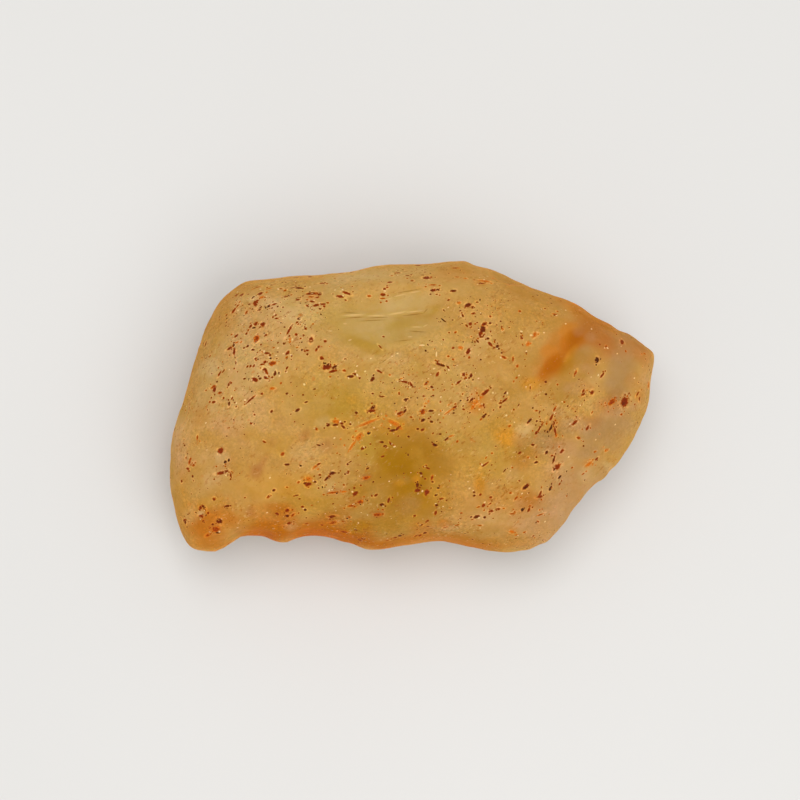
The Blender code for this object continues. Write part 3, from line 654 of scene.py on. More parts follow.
# Each row gives a speck's values in that order.
SPECKS = tuple(Speck(*row) for row in (
    # the upper left
    (236.5, 295, 3.6, 2.6, 60), (241.5, 295, 4.2, 3.6, 30), (260.5, 293.6, 4.4, 3.2, 20),
    (261.4, 297.4, 4.2, 2.6, 0, ORANGE), (272, 285, 3.6, 1.8, 10), (257, 287.4, 10, 1.2, 3, RUST),
    (268.8, 288.7, 5, 1.5, 12, ORANGE), (280.4, 288.7, 3.8, 1.6, 5, RUST), (285, 290.3, 3, 2.6, 60, RUST),
    (286.2, 296.4, 4.2, 2.2, 20), (294, 287.6, 14, 1.2, -3), (299.8, 288.2, 8, 2, -8, DARK),
    (297.8, 299.7, 4, 2, 8), (311.1, 293.6, 9.5, 3.6, 5), (316.9, 293.2, 3.4, 3, 0, RUST),
    (319.8, 294, 4.4, 2.8, 70), (311.3, 296.8, 4.4, 1.8, 0, RUST), (316.9, 297.6, 3.6, 2, 20),
    (311.9, 301.5, 4.2, 2.2, -12), (307, 299.8, 2.4, 2, 0, RUST), (307.5, 305.7, 3.4, 2.4, -50),
    (316.1, 305.2, 5.6, 2.8, 12), (322.7, 304, 5, 2, 5), (320.2, 308.6, 2.6, 2, 0, DARK),
    (324, 306.5, 2.2, 2), (327.7, 302.8, 2.4, 1.6, 0, RUST), (253, 297.4, 3.4, 1.8, 50, BLACK),
    (255.4, 303.4, 6.4, 3.8, 110), (257.4, 300.6, 3.2, 2.6, 30), (260.9, 306.9, 3.4, 2, 80),
    (259.3, 309.9, 4, 1.8, 5), (249.3, 304.4, 2.2, 1.8, 0, DARK), (246.4, 312.4, 4, 2.2, 70, RUST),
    (233.6, 310.8, 6.5, 2.6, 62), (237.5, 306.2, 5, 1.4, 50, RUST), (268.4, 306.2, 3.4, 2.4, 25, BLACK),
    (274.4, 304.2, 5.4, 1.9, 15), (275.5, 315.2, 2.4, 1.8, 60), (273, 317.1, 2.2, 1.8),
    (276.7, 318.3, 3, 1.8, -10), (250.6, 326.2, 4.4, 2.6, 50), (255.6, 323.7, 4.2, 3.4, 40),
    (253.9, 327.7, 3.4, 1.8, 5, BLACK), (262.6, 324.3, 4.2, 3.8, 60), (260, 327.2, 2.2, 1.3, 30),
    (248.5, 330.1, 2.2, 1.8, 45, RUST), (246.4, 333.7, 2.4, 2, 60), (256.4, 338.8, 6, 5, 70, RUST),
    (265.9, 335.1, 2.8, 1.8, 35), (247.4, 346.3, 2.8, 2.2, 0, DARK), (236, 336.1, 4.4, 2.2, 40),
    (236.9, 342.3, 3.4, 1.5, 15, ORANGE), (233.6, 345.6, 3.6, 2.6, 80, BLACK), (229.8, 348.4, 6, 2.5, 8),
    (234.2, 351.7, 6.6, 2.4, 98), (205.6, 343.8, 4.8, 2.1, 84), (202, 357.6, 2, 1.8, 0, RUST),
    (210, 356.2, 2.2, 1.8, 30, RUST), (289.3, 330, 9.6, 1.8, 63), (299.1, 318.5, 3.2, 2.5, 20, DARK),
    (297, 322.4, 2.4, 1.6, 30), (305.3, 328, 3.8, 2.2, 110), (296, 334.5, 2.5, 2.2),
    (289.6, 339.7, 3.6, 2, 60, ORANGE), (284.2, 343.5, 2.2, 1.8, 0, DARK), (311.1, 339.7, 5, 3.2, 80),
    (325.2, 341.1, 2.6, 2.2), (318.6, 346.7, 2.4, 1.8, 50), (316.5, 349.8, 3.6, 2, 60),
    (307.5, 350.4, 3.2, 1.8, 10), (302.2, 350, 2.2, 2, 0, DARK), (297, 347.5, 2.4, 1.3, 15, RUST),
    (287.5, 352.9, 4.2, 2.4, 55), (286.6, 357.5, 2.8, 1.8, 50, RUST), (291.6, 356, 2.2, 1.5, 80),
    (266.7, 353.2, 4.6, 2, -8), (270, 355.2, 2.4, 1.8), (270.6, 358.3, 2.4, 1.8, -45, BLACK),
    (255.4, 358.6, 2.2, 1.9), (265, 362, 3.2, 2.6, 60), (262.6, 364.3, 3.8, 1.6, 8),
    (272.6, 363.3, 6.2, 3.8, 18, RUST), (247.3, 366.6, 2.8, 1.7, 45), (250.4, 366.2, 3, 2, 60),
    (253.9, 365.5, 2.6, 1.8, 60), (264.7, 369.5, 3.6, 2), (235.8, 362.9, 2.6, 1.9, 110),
    (321.6, 358.1, 3.3, 2.8), (324.6, 362.9, 2.8, 2.3, 0, BLACK), (326.5, 367, 7.5, 4.2, 8),
    (328.5, 364.8, 4, 2.4, 50, DARK), (335.1, 366.5, 5, 2.6, 38, DARK), (333, 371.3, 7.5, 2.4, 14),
    # the left end and the lower left
    (219.4, 373.8, 5, 2, 65), (223.4, 371.1, 4, 1.6, 45), (217, 381.6, 1.9, 1.7, 0, DARK),
    (229.1, 384.1, 3.6, 2, 70), (214.6, 389, 5.4, 3.2, 75), (213.2, 387, 6, 2.6, 10, RUST),
    (219.9, 392.7, 4, 2.4, 20, RUST), (211.3, 397.9, 2.4, 1.6, 90), (213.6, 402.2, 4, 2.2, 5),
    (232, 398.2, 3.2, 1.6, 60), (229.1, 403.6, 4, 2, 80, DARK), (244.6, 378.7, 2.4, 2, 0, DARK),
    (254.9, 379.7, 6, 3.4, -15), (260.1, 378.4, 2.8, 2.4, 30, DARK), (265.9, 370.9, 6.5, 2.4, -58),
    (265.9, 377.8, 4, 2.4, -20), (275, 373.5, 4.8, 2.2, 85, DARK), (272.2, 377.6, 2.8, 1.8, 45),
    (287.1, 368, 3.2, 1.5, 60), (285.7, 371.1, 2, 1.4, 60), (250.9, 399.3, 11.5, 1.7, 40),
    (272.2, 388.5, 4, 2, 5, ORANGE), (286.9, 393.6, 2.8, 1.6, 10, DARK),
    (297.4, 410.2, 4.2, 2.1, 28, DARK), (306, 402.1, 3.2, 1.6, 15, DARK), (314.9, 389, 3.6, 1.2, 5, DARK),
    (303.2, 394.8, 1.6, 1.4, 0, DARK), (305.5, 384.1, 2, 1.2, 70), (271.6, 411.3, 2.8, 1.9, 45, DARK),
    (254.6, 414.9, 1.8, 1.5), (251.2, 423.1, 2.4, 2), (197.3, 437.7, 4, 1.7, 85, RUST),
    (184.6, 445.5, 2, 1.7, 0, DARK), (220.5, 450.7, 5.6, 4.4, 30), (225.1, 462.4, 3.4, 2.8, 40, BLACK),
    (228.8, 460.1, 2.4, 1.8, 70, BLACK), (221.4, 472.8, 9.5, 2.6, 8), (226, 471.5, 5, 2.4, 10),
    (230.8, 475.4, 4.6, 1.8, 100), (189.5, 461.6, 5, 2.2, 75, RUST), (193.5, 465, 3.2, 2.4, 20, RUST),
    (188, 468.8, 3.2, 2, -10), (192.6, 476.3, 2.6, 2, 80, DARK), (181.7, 481.1, 2.6, 2.3, 30),
    (264.4, 441.7, 3.6, 1.6, -25), (318.7, 445.2, 3.2, 1.4, -15, DARK), (328.3, 424.9, 3, 2.2, 20, DARK),
    (316.4, 428.9, 3.2, 2.2, -35, RUST), (324.4, 428, 1.5, 1.3), (282.5, 454.1, 4, 2.6, 60, RUST),
    (287.3, 464.5, 4.2, 1.8, 2, DARK), (300.6, 465.6, 2.1, 1.8, 0, BLACK), (318.5, 464.2, 3.4, 1.6, 35),
    (315.4, 466.7, 5, 1.9, 40, ORANGE), (308.3, 479.2, 5.6, 3.4, 5, ORANGE), (308.3, 484.2, 6, 3.6, 5),
    (305.3, 483.2, 3, 2.6, 0, DARK), (298.6, 482.3, 2.8, 2, 30, RUST), (315.1, 481.9, 2.6, 2, 0, DARK),
    (319.8, 474.8, 2.3, 1.9), (314.1, 476.2, 1.6, 1.4), (273.9, 490.3, 2.7, 2.1, 45, DARK),
    (268.7, 496.6, 4, 2, 50, RUST), (287.1, 487.2, 2.2, 1.3, 0, RUST), (296.3, 495.5, 4, 1.5, 15),
    (214.2, 499.1, 3.2, 2.6, 25), (200.6, 507.6, 3.4, 2.6, 60), (203.6, 506.6, 4.4, 2.2, -30, DARK),
    (227.4, 506.1, 4.2, 1.9, 12, DARK), (201, 516.2, 4.6, 2.8), (208.2, 513, 2.4, 2, 30),
    (219, 521.1, 5.2, 4.6, 0, DARK), (184.7, 520.3, 5, 2.8, 12), (185.3, 522.3, 3, 2.4, 80, DARK),
    (203.3, 521.3, 2.2, 1.8, 70), (212.7, 524.2, 2.2, 2, 0, DARK), (215.9, 529.3, 8, 5.6, 20, RUST),
    (217.8, 532.6, 4, 2.2, -10, DARK), (207.9, 535.1, 5, 2.6, 40, RUST), (276.8, 513.5, 3.2, 2.6),
    (287.1, 510.4, 4, 3.2, 60), (287.1, 515.9, 3.6, 3.2, 30, DARK), (292.8, 515, 5, 2, 55, RUST),
    (288.8, 523.2, 4, 2.8, 20), (302.6, 506.9, 3.2, 2), (305.2, 509.8, 2.2, 2.2, 0, BLACK),
    (306.6, 523.6, 4, 2, 30, RUST), (322.1, 525, 3.4, 2.6, 0, RUST),
    # the upper middle
    (334.6, 278.3, 2.2, 1.9, 0, RUST), (323, 283, 5.5, 2.2, 20), (340.2, 296.4, 6, 2.8, -5),
    (346.3, 292.9, 7, 2.6, -28), (391.7, 275.7, 2.4, 1.6, 0, RUST), (397.7, 272.9, 5.2, 1.8, 10),
    (389.7, 282.3, 4.2, 2, 22), (387.1, 287.2, 2.2, 1.6, 0, RUST), (384.6, 289, 3.2, 2.2, 55),
    (383.1, 294.6, 5, 2.6, 10), (382.5, 298.4, 5, 1.4, 5, RUST), (369.3, 296.1, 3, 2, 0, RUST),
    (407.5, 275.5, 3.2, 1.6, 5), (407.3, 278.3, 2, 1.5, 0, RUST), (412.1, 280.8, 2.8, 2, 10),
    (426.9, 277.7, 6, 4.6), (428.4, 276.9, 2.6, 2, 0, RUST), (433, 284.9, 6, 1.4, 0, RUST),
    (433.6, 290.1, 6.2, 2.6, 8), (431.8, 290.3, 3.4, 1.8, 0, DARK), (437.9, 289.6, 3, 2, -20, DARK),
    (436.8, 294.3, 2, 1.4), (453.5, 290.8, 4.6, 2.8, 18, DARK), (455.5, 268, 7.5, 2.2, -10, RUST),
    (457, 277, 3.6, 1.5, 5, RUST), (465.2, 278.3, 3, 1.8, 0, ORANGE), (448.4, 300, 2.2, 1.7, 60),
    (459, 302.8, 3, 2.4, 0, ORANGE), (467.8, 305.3, 6.6, 3.4, 35, DARK), (472.7, 307.3, 3.4, 2.6, 40),
    (477.4, 302.2, 2.4, 1.9), (473.7, 313.3, 3.7, 2, 15), (462.7, 315.5, 3.2, 1.9, -65, DARK),
    (444, 310.4, 2.4, 1.4, -60, DARK), (443.3, 320.1, 6, 1.2, -48, BLACK), (470.3, 323.9, 3.2, 2.4, 60),
    (466.7, 325.7, 3, 1.7, -50), (470.8, 327.2, 2.1, 1.7), (484, 281, 9.5, 2.6, 12, ORANGE),
    (481.7, 283.3, 6.5, 1.8, 15), (484.4, 323.7, 5, 3, 40), (482.9, 329.2, 8, 4, 78, DARK),
    (480.6, 333.7, 6, 3.6, 55), (481.4, 336.9, 4, 1.7, 5), (477.4, 341.2, 4, 1.5, -45, DARK),
    (487.8, 338.4, 3.2, 2, 20, DARK), (490.4, 344.2, 5.4, 2.6, -55), (493.4, 347.9, 3, 2, 30),
    (497.2, 346.6, 3.8, 2.2, 60, DARK), (498.6, 348.8, 2.6, 1.6, 0, DARK), (490.4, 316.4, 2.2, 2),
    (490, 323.3, 2.4, 1.9, 0, DARK), (496.7, 325.1, 1.7, 1.4, 0, DARK), (501.7, 327.4, 3.2, 1.3, 85),
    (501.7, 352.8, 1.8, 1.6, 0, DARK), (455.5, 332.3, 2.6, 1.6, 30, RUST), (453, 347.9, 2.3, 2.1),
    (460.6, 347.7, 3.2, 2.5, 0, ORANGE), (468.3, 351.4, 5.4, 2.8, 65), (468.8, 349.8, 2.8, 2.2, 30),
    (383.6, 336.6, 2, 1.7), (380, 346.6, 4.6, 1.3, -55), (345.3, 359.2, 2.2, 1.6),
    (344.3, 370.6, 2.8, 2, 0, RUST), (354.7, 373.9, 4, 1.9, 5), (350.9, 376.5, 5.4, 2.2, 8, DARK),
    (359.6, 378, 2, 1.8), (372.4, 379, 4.6, 2.8, 52, DARK), (379.5, 371.4, 4.8, 1.8, -30),
    (389.7, 375, 1.8, 1.5, 0, RUST), (401.4, 378.8, 2, 1.6, 0, ORANGE), (438.2, 361.4, 3, 1.8, 20),
    (441.2, 364.9, 8, 2.2, -18, DARK), (447.6, 366.8, 5.4, 1.8, -62), (448.4, 356.3, 2, 1.6, 0, RUST),
    (437.5, 374.2, 4, 2.4, 60), (464.4, 374.6, 4, 3.2), (465.8, 378, 3, 2.6, 40, RUST),
    (470.9, 375.6, 3.6, 2.3, 70, DARK), (453, 359.4, 2, 1.5, 0, RUST),
    # the right-hand end
    (519.7, 311.2, 2.6, 2.2, 0, RUST), (537.6, 295.2, 2, 1.6, 0, DARK), (550.6, 298.5, 2.2, 1.6),
    (551.4, 303.3, 1.6, 1.4, 0, DARK), (554.8, 314.2, 5, 1.6, 5, RUST), (521, 333.2, 5, 1.1, 110),
    (521.5, 337, 3.8, 2.3, 95), (534.5, 334.8, 5.4, 3, 45, ORANGE), (528.2, 343.9, 4, 2.8, 55, ORANGE),
    (503.9, 357.2, 6, 2, -25, RUST), (513, 359, 4, 1.7, 85, RUST), (517.3, 366.1, 2.6, 2, 60, RUST),
    (545.7, 381.8, 2.2, 1.9, 0, DARK), (546, 394.2, 2.3, 1.9, 0, DARK), (622.1, 342.1, 5.2, 4, 70),
    (625.7, 351.2, 2, 1.8, 0, RUST), (644.5, 353.6, 3, 1.5, 0, RUST), (606.2, 346.6, 2.8, 2.2, 60, RUST),
    (596.9, 360, 4.6, 4, 50, BLACK), (575.4, 373, 5, 1.8, 60, RUST), (602, 375.4, 6, 1.9, 42),
    (583.2, 391, 3.4, 2, 60), (583.6, 394.3, 4.6, 2, 20), (592, 392.5, 3.8, 3, 60),
    (516.6, 377.8, 2.6, 1.6, 40, RUST), (513.7, 381.4, 2.2, 1.4, 60, RUST), (485.4, 392.3, 9, 2.6, 44),
    (480.4, 397.6, 4, 1.8, 45, ORANGE), (472.1, 399.4, 3.8, 1.7, 40, DARK),
    (475.4, 402.6, 5, 3, 30, ORANGE), (473, 406.6, 4, 2.4, 60, ORANGE), (481.2, 406, 4.4, 2, 20, ORANGE),
    (483.6, 405.3, 3, 1.6, 80), (483.6, 416.4, 5, 2.3, 35, DARK), (481, 419.4, 3, 1.6, 40, RUST),
    (505.2, 392.8, 3.2, 1.7, 50, DARK), (503.8, 396.4, 2.2, 1.4, 50), (504.4, 400.6, 6.6, 1.7, 42),
    (500.8, 403, 3.4, 1.8, 10), (518.4, 405.3, 2.8, 1, 55, DARK), (564.3, 402.1, 2, 1.7, 0, RUST),
    (529.5, 420.8, 6.8, 2, 42, DARK), (509.5, 425.9, 2.6, 2, 20, RUST), (540.2, 427.2, 11, 1.6, 56),
    (536.4, 432.6, 4, 2.4, 50), (536.5, 410.6, 3, 1.4, 0, RUST), (539.7, 411.8, 3.2, 1.2, 60, DARK),
    (554.6, 409, 5, 1.8, 62, RUST), (551.6, 417.2, 6, 2.1, 62), (551.2, 427.4, 7, 2.2, 62, BLACK),
    (554, 423.6, 4, 1.6, 70), (555.2, 431.4, 8, 2, 105), (556.4, 435.6, 3, 1.8, 70, ORANGE),
    (532.7, 444.8, 3.6, 1.9, -10, DARK), (519.6, 453, 3.2, 2.1, 30), (528.2, 457.4, 2, 1.8, 0, RUST),
    (536.1, 462.3, 3.6, 2.2, 14, DARK), (536.5, 457.2, 1.9, 1.6), (546.5, 452.4, 3, 2.5, 40, DARK),
    (562, 451, 4.2, 2.7, 42), (553.8, 459.4, 7.4, 2, 82, DARK), (552.2, 455.6, 2.6, 1.6),
    (556.9, 467.2, 7.4, 4.6, 35), (554.6, 469.2, 3.6, 2.2, 60, DARK), (559.5, 477.2, 4.4, 2.3, 42, BLACK),
    (559.9, 483.3, 4.2, 2, 70), (550.6, 488.2, 4.6, 3, 60, BLACK), (525.9, 486.8, 6.6, 3.3, 35, DARK),
    (540.3, 493.6, 5, 2.2, 80), (539.4, 496.6, 5.8, 2.4), (522.5, 509.5, 4, 3, 50, BLACK),
    (528.9, 509.8, 4.4, 2.3, 75), (529.8, 506.2, 2.6, 1.8, 0, RUST), (485, 464.6, 6.6, 1.7, 32),
    (486.3, 457.2, 3.2, 1.2, 60, RUST), (491.9, 453.3, 2, 1.6, 0, RUST), (504.6, 470.6, 4, 1, 55, DARK),
    (512.3, 467.6, 1.8, 1.5, 0, RUST), (474, 492.2, 2.2, 1.8, 0, DARK), (474.3, 495.6, 2.3, 1.8, 0, DARK),
    (480.4, 494.5, 2.6, 1.9, 60), (483.6, 505.2, 4, 2.8, 70), (478.5, 506.9, 3, 1.4, 20, RUST),
    (490, 503.7, 3.2, 1.4, 35), (490.6, 497.3, 2.6, 1.8), (491.9, 510.7, 4, 2.6, 10),
    (497.9, 509.2, 4.6, 2.4, 5), (476.6, 516.7, 5, 3.6, 18, DARK), (484.5, 517.4, 2.6, 2.3, 0, DARK),
    (479.8, 525.4, 3.6, 1.5, 0, RUST), (516.1, 498, 4.2, 1.7, 50, RUST), (510.4, 492.9, 2.6, 1.9, 0, RUST),
    (512, 513.7, 5, 1.3, -3, RUST), (540.4, 514.6, 7, 1.4, 5, RUST), (537.8, 521.6, 3, 1.8, -30, RUST),
    (511.7, 531.8, 5, 2.6, -30, ORANGE), (516.1, 535, 2.5, 1.8, 0, ORANGE),
    (524.4, 532.2, 2.8, 2, 0, RUST), (533.3, 535.9, 2, 1.6), (611.8, 401.9, 8.2, 4.4, 28, RUST),
    (624.5, 401.7, 9.6, 6.8, 58), (624, 402.6, 7, 4.6, 58, DARK), (637.6, 394, 5, 1.7, 40),
    (639.4, 398.8, 3.4, 1.9, 80), (592, 412.5, 3, 1.4, 60, RUST), (574.8, 422.5, 6.6, 2.4, 38),
    (587.6, 427.8, 5, 2.4, 50), (578.6, 438, 3.6, 2.2, -20, RUST), (583.5, 445.9, 1.8, 1.6, 0, DARK),
    (595.2, 451.7, 3.2, 2, 0, RUST), (606.4, 450.2, 4, 2.4, 0, ORANGE), (596.7, 458.8, 3.6, 1.9, 35),
    (588.8, 464.2, 6.2, 3, 35, ORANGE), (583.1, 473.8, 4, 1.4, 40, RUST),
    (621.4, 414.4, 2.5, 1.9, 0, RUST), (648.5, 385.1, 5, 3.6, 80, ORANGE), (572.2, 467.6, 2, 1.7, 0, RUST),
    # the middle and the lower middle
    (404.2, 381.6, 8, 2, -15), (411, 384.4, 5, 2, -60), (426.5, 383.2, 4.2, 2.2, 42, RUST),
    (431.9, 386.9, 3, 1.8, -30, DARK), (458.7, 382.3, 5.8, 1.7, 37), (382.1, 396.6, 4.2, 1.2, 3, DARK),
    (372.6, 393.5, 1.8, 1.5, 0, DARK), (406.1, 399.3, 4, 1.8, 20, DARK), (423.7, 396.2, 1.8, 1.4),
    (433.2, 395.6, 1.7, 1.5, 0, DARK), (427.1, 402.1, 4.2, 1.8, 42, ORANGE), (454.6, 407.3, 5.4, 2, 42),
    (449, 411.3, 8, 1.3, 36, ORANGE), (463.8, 409.3, 2.2, 1.5), (356.3, 412.8, 2.3, 2, 0, DARK),
    (373.1, 407.3, 4.8, 2.6, 32, DARK), (371.4, 410.8, 7, 2.6, 5), (400.1, 413, 6, 2.3, 22),
    (404.7, 411.3, 4.2, 1.8, 55, DARK), (400.4, 415.4, 4, 1.8, 20, ORANGE),
    (422.5, 411.6, 5.4, 4, 30, RUST), (423, 410.4, 2.6, 2), (430.9, 410.8, 4.6, 1.9, 3, DARK),
    (411, 417.1, 2.2, 1.6, 0, RUST), (423.1, 420.3, 3.6, 2.3, 28, DARK), (431.5, 421.7, 2.9, 2, -20, DARK),
    (430.5, 417, 1.7, 1.4), (422.7, 429.7, 3.3, 2.2, 30), (417.9, 428.9, 2.2, 1.9, 0, DARK),
    (393.6, 430.2, 7, 2, 12, DARK), (397.4, 428.6, 4, 2, 45), (394, 423.4, 9, 3, -28, ORANGE),
    (399.4, 427.2, 4, 2.6, -60, ORANGE), (367.4, 422.8, 16, 2, 22, ORANGE),
    (359, 437.2, 8, 3.6, 45, ORANGE), (352.4, 445.6, 11, 1.8, 55, ORANGE),
    (336.4, 421.7, 5.6, 3.2, -10, ORANGE), (335.3, 424.9, 4.6, 2, 12, DARK), (341.9, 423.4, 3, 1.7, -10),
    (343.3, 426.8, 4, 1.9, -40), (350.4, 424.3, 1.9, 1.7, 0, DARK), (368.9, 432.9, 3.2, 2.4, 20, BLACK),
    (408.5, 436.6, 1.9, 1.7, 0, DARK), (382, 442.1, 4, 1.6, -5, DARK), (385.2, 446, 3.2, 1.9, 10, DARK),
    (390.4, 443.5, 3.8, 1.5, -60), (393.4, 445, 4, 1.2, -30, RUST), (362.5, 448.4, 3, 2.5, 60),
    (440.3, 434.1, 2, 1.6, 0, DARK), (446.6, 438.9, 4.2, 1.7, 38, DARK),
    (450.6, 436.2, 4, 1.3, 22, ORANGE), (434.8, 444.8, 4, 2.4, -25, DARK),
    (457.3, 441.4, 2.8, 1.9, 50, RUST), (382.7, 456.3, 2.9, 1.6, 22), (350.2, 461.8, 3.2, 1.1, 28, DARK),
    (367.7, 468.2, 2.6, 1.8, 30, DARK), (366.3, 477.7, 6.4, 2.6, 15, RUST),
    (332.4, 473, 5.4, 2.6, 10, DARK), (329.8, 475.6, 4, 2.2, 55), (326.6, 478.5, 5, 1.8, 48, DARK),
    (347.9, 472.2, 2.9, 2.4, 60), (345, 474.2, 1.5, 1.3, 0, DARK), (333, 492.6, 8, 1.7, 8, RUST),
    (343.3, 491.7, 5, 1.4, 5, ORANGE), (323.8, 494.6, 2.2, 1.4, 0, RUST), (355.3, 493.6, 4.8, 3.4, 40),
    (376, 495.1, 3.4, 1.9, 45), (388.6, 500.3, 4.8, 1.9, 75), (382, 504.7, 4, 2.7, 0, DARK),
    (359.9, 502, 6.6, 3, 20, RUST), (351, 505.8, 5.6, 2.2, 18, RUST), (377.5, 514.6, 7, 3.2, 5, RUST),
    (332.4, 516.2, 6.6, 2.2, 8), (331.4, 517.2, 3, 2, 0, DARK), (333, 522.7, 7.4, 3.4, 38, RUST),
    (349, 517.3, 2.8, 2, 20, RUST), (343.3, 521.5, 3.4, 1.4, 0, RUST), (343.9, 531.9, 7.4, 3.8, 5, RUST),
    (336.4, 533.6, 3, 2, 0, RUST), (356.1, 530.1, 2.3, 2, 0, DARK), (359.6, 540, 4.6, 2.6, 45),
    (362.9, 538.8, 4.8, 2.4, -40), (400.1, 535.7, 3.6, 2.5, 10, DARK), (395.2, 537.6, 3, 2.1, 30),
    (391.3, 539, 2, 1.6, 0, RUST), (387.5, 540.5, 3, 1.8, 20, RUST), (415.8, 535.9, 3, 1.9),
    (420, 535.3, 3, 2.4, 20), (424.6, 533, 3.2, 2.4, 0, DARK), (421.1, 525, 3.6, 2.3, 15, DARK),
    (428, 526.4, 2.4, 1.9, 0, DARK), (427.1, 521.3, 3.8, 2, 62), (414.7, 515.8, 2.6, 2.1, 30),
    (417.3, 484.8, 4.6, 2.6, 85, DARK), (417.9, 490.5, 4.6, 3.2, 5), (426.9, 492.3, 5, 3.8, 60),
    (420.8, 473.3, 3, 2, -20, DARK), (425.1, 478.8, 2.1, 1.8), (432, 477.3, 5, 2, 75, RUST),
    (432.5, 481.9, 2.2, 1.7), (428, 468.2, 3.6, 1.4, -30), (426, 465.3, 2, 1.4, 0, RUST),
    (438.2, 488, 2.1, 1.8, 0, BLACK), (441.2, 498.8, 4.2, 1.7, 10), (436, 495.1, 2.6, 1.6, 30, DARK),
    (436.5, 505.2, 2.7, 2.2, 0, DARK), (435.7, 512.9, 5, 2.1, 80), (445.6, 527.2, 5, 1.9, 15, RUST),
    (461.3, 513.2, 2.3, 1.8, 0, RUST), (459.8, 519.2, 3.2, 1.4, 20, DARK),
    (456.9, 525.2, 5, 1.6, 32, RUST),
))

# Thin ridges, grooves and bright scratches of the scoop, as lines of colour. The pale lines along the ridges
# are partly painted highlights, and the bright scratches are painted glints.
SCOOP_LINES = tuple(Speck(*row) for row in (
    (353.3, 315, 23, 2.2, 5, PALE_LINE), (355, 317.5, 26, 1.3, 5, OLIVE_LINE),
    (351, 312.9, 20, 1.2, 3, OLIVE_LINE), (376, 315.6, 19, 1.8, 5, PALE_LINE),
    (379, 317.5, 19, 1.2, 6, OLIVE_LINE), (397.5, 313.2, 21, 2.6, 12, PALE_LINE),
    (414, 311.6, 18, 1.6, 6, PALE_LINE), (413, 314.6, 23, 1.4, 6, OLIVE_LINE),
    (425.5, 311, 8, 1.3, 50, OLIVE_LINE), (387.5, 299.4, 12, 1.5, 22, PALE_LINE),
    (400, 295.2, 15, 1.5, 16, PALE_LINE), (414, 292.2, 14, 1.5, 9, PALE_LINE),
    (409, 291, 30, 1.2, 12, OLIVE_LINE), (416.5, 327, 13, 1.5, -4, PALE_LINE),
    (425.5, 325.6, 6, 1.3, 32, PALE_LINE), (417.5, 331.6, 19, 1.3, -9, OLIVE_LINE),
    (410, 336.7, 5.4, 2.4, 0, PALE_LINE), (350, 340, 4.4, 2.2, 30, PALE_LINE),
    (345, 323.7, 4.4, 1.9, 5, PALE_LINE), (330.3, 331, 4.4, 1.9, 10, PALE_LINE),
    (422, 345.2, 5, 1.3, 0, GLINT), (436.4, 354.4, 4.8, 1.2, 85, GLINT),
    (390, 358, 17, 1.3, 36, PALE_LINE), (384, 361, 9, 1.2, 40, OLIVE_LINE),
    (372, 320.5, 30, 1.2, 8, OLIVE_LINE), (404, 340.5, 16, 1.3, 8, OLIVE_LINE),
))

# Glints, tiny highlights painted pale at small pits: their places, length, width and turn in the photograph.
GLINTS_PX = (
    (237.4, 292), (253.4, 299.4), (265, 278.9), (310, 287), (335, 290), (278, 348), (283.4, 353.6),
    (279.4, 375.8), (269.9, 477.7), (267, 512.7), (237.7, 527.6), (205.9, 422.9), (236.4, 403),
    (330.4, 331), (370.8, 358.4), (392.2, 356.3), (397.6, 353.4), (357, 366), (365, 371.4), (434, 368.6),
    (448.2, 307.4), (487, 339), (478.5, 378.4), (526.3, 351.2), (544, 332.6), (565.7, 310.2),
    (565.7, 323.7), (591.5, 329), (605, 347.8), (617.2, 353.6), (634.4, 378.2), (519, 375.4),
    (580.5, 405.5), (555, 412.9), (570, 424), (615.2, 424.6), (568.7, 456.9), (522.1, 493.5),
    (545.1, 521.6), (506.3, 415.3), (479.4, 409.6), (469.6, 488.4), (595.8, 439.7), (440.8, 397),
    (439, 414.6), (398, 381), (334.4, 438),
)
GLINT_LONG_PX, GLINT_WIDE_PX, GLINT_TURN_DEG = 1.9, 1.33, 30.0

# A stained band round each speck makes it look this much larger than it is.
SPECK_GROWTH = 1.12

# Crumbs lie beyond the ends of each speck that is longer than CRUMBLING_PX: how many per pixel that it is
# longer, how far from its middle as a share of its length, how far they stray to the sides, their length,
# their width as a share of it, and how much warmer than the speck they are.
CRUMB_SEED = 7
CRUMBLING_PX = 2.4
CRUMBS_PER_PX = 0.55
CRUMB_AWAY = (0.5, 1.3)
CRUMB_SPREAD_DEG = 40.0
CRUMB_LONG_PX = (1.1, 2.2)
CRUMB_SLENDERNESS = (0.6, 0.9)
CRUMB_TONES = (0.0, 0.0, TONE_STEP, TONE_STEP)

# Pale chips of the glass, and painted glints, lie all round each speck: how many per pixel of its length,
# and how far from its middle as a share of the mean of its length and width.
CHIPS_PER_PX = 0.10
CHIP_AWAY = (0.6, 1.1)
CHIP_LONG_PX = (1.4, 2.6)
CHIP_SLENDERNESS = (0.5, 0.8)
CHIP_TONES = (PALE_LINE, PALE_LINE, GLINT)

# Sown specks: the direction of their length, how steeply it climbs, and their width as a share of it.
SPECK_SEED = 20
SPECK_TURN_DEG, SPECK_TURN_SPREAD_DEG = 32.0, 24.0
SPECK_CLIMB = 0.25
SPECK_SLENDERNESS = (0.45, 0.95)

# How unevenly specks are sown: the strength, the period and the place of each noise.
SWARMS = ((2.2, 2.2, 71.0), (1.2, 6.0, 73.0))


class Sowing(NamedTuple):
    """Random specks: their number, the facing and the lengths that they have, and their tones."""

    number: int
    facing: tuple
    long_mm: tuple
    tones: tuple


# The second sowing holds pale bits and painted glints; the last holds painted glints on the sides and
# underside.
SOWINGS = (
    Sowing(900, (0.15, 1.0), (0.075, 0.17), (BLACK, DARK, DARK, RED, RED, RUST)),
    Sowing(240, (0.15, 1.0), (0.07, 0.12), (PALE_LINE, PALE_LINE, GLINT)),
    Sowing(420, (-1.0, 0.25), (0.14, 0.46), (DARK, RED, RED, RUST, ORANGE)),
    Sowing(900, (-1.0, 0.15), (0.075, 0.15), (DARK, RED, RUST)),
    Sowing(60, (-1.0, 0.15), (0.10, 0.16), (GLINT,)),
)

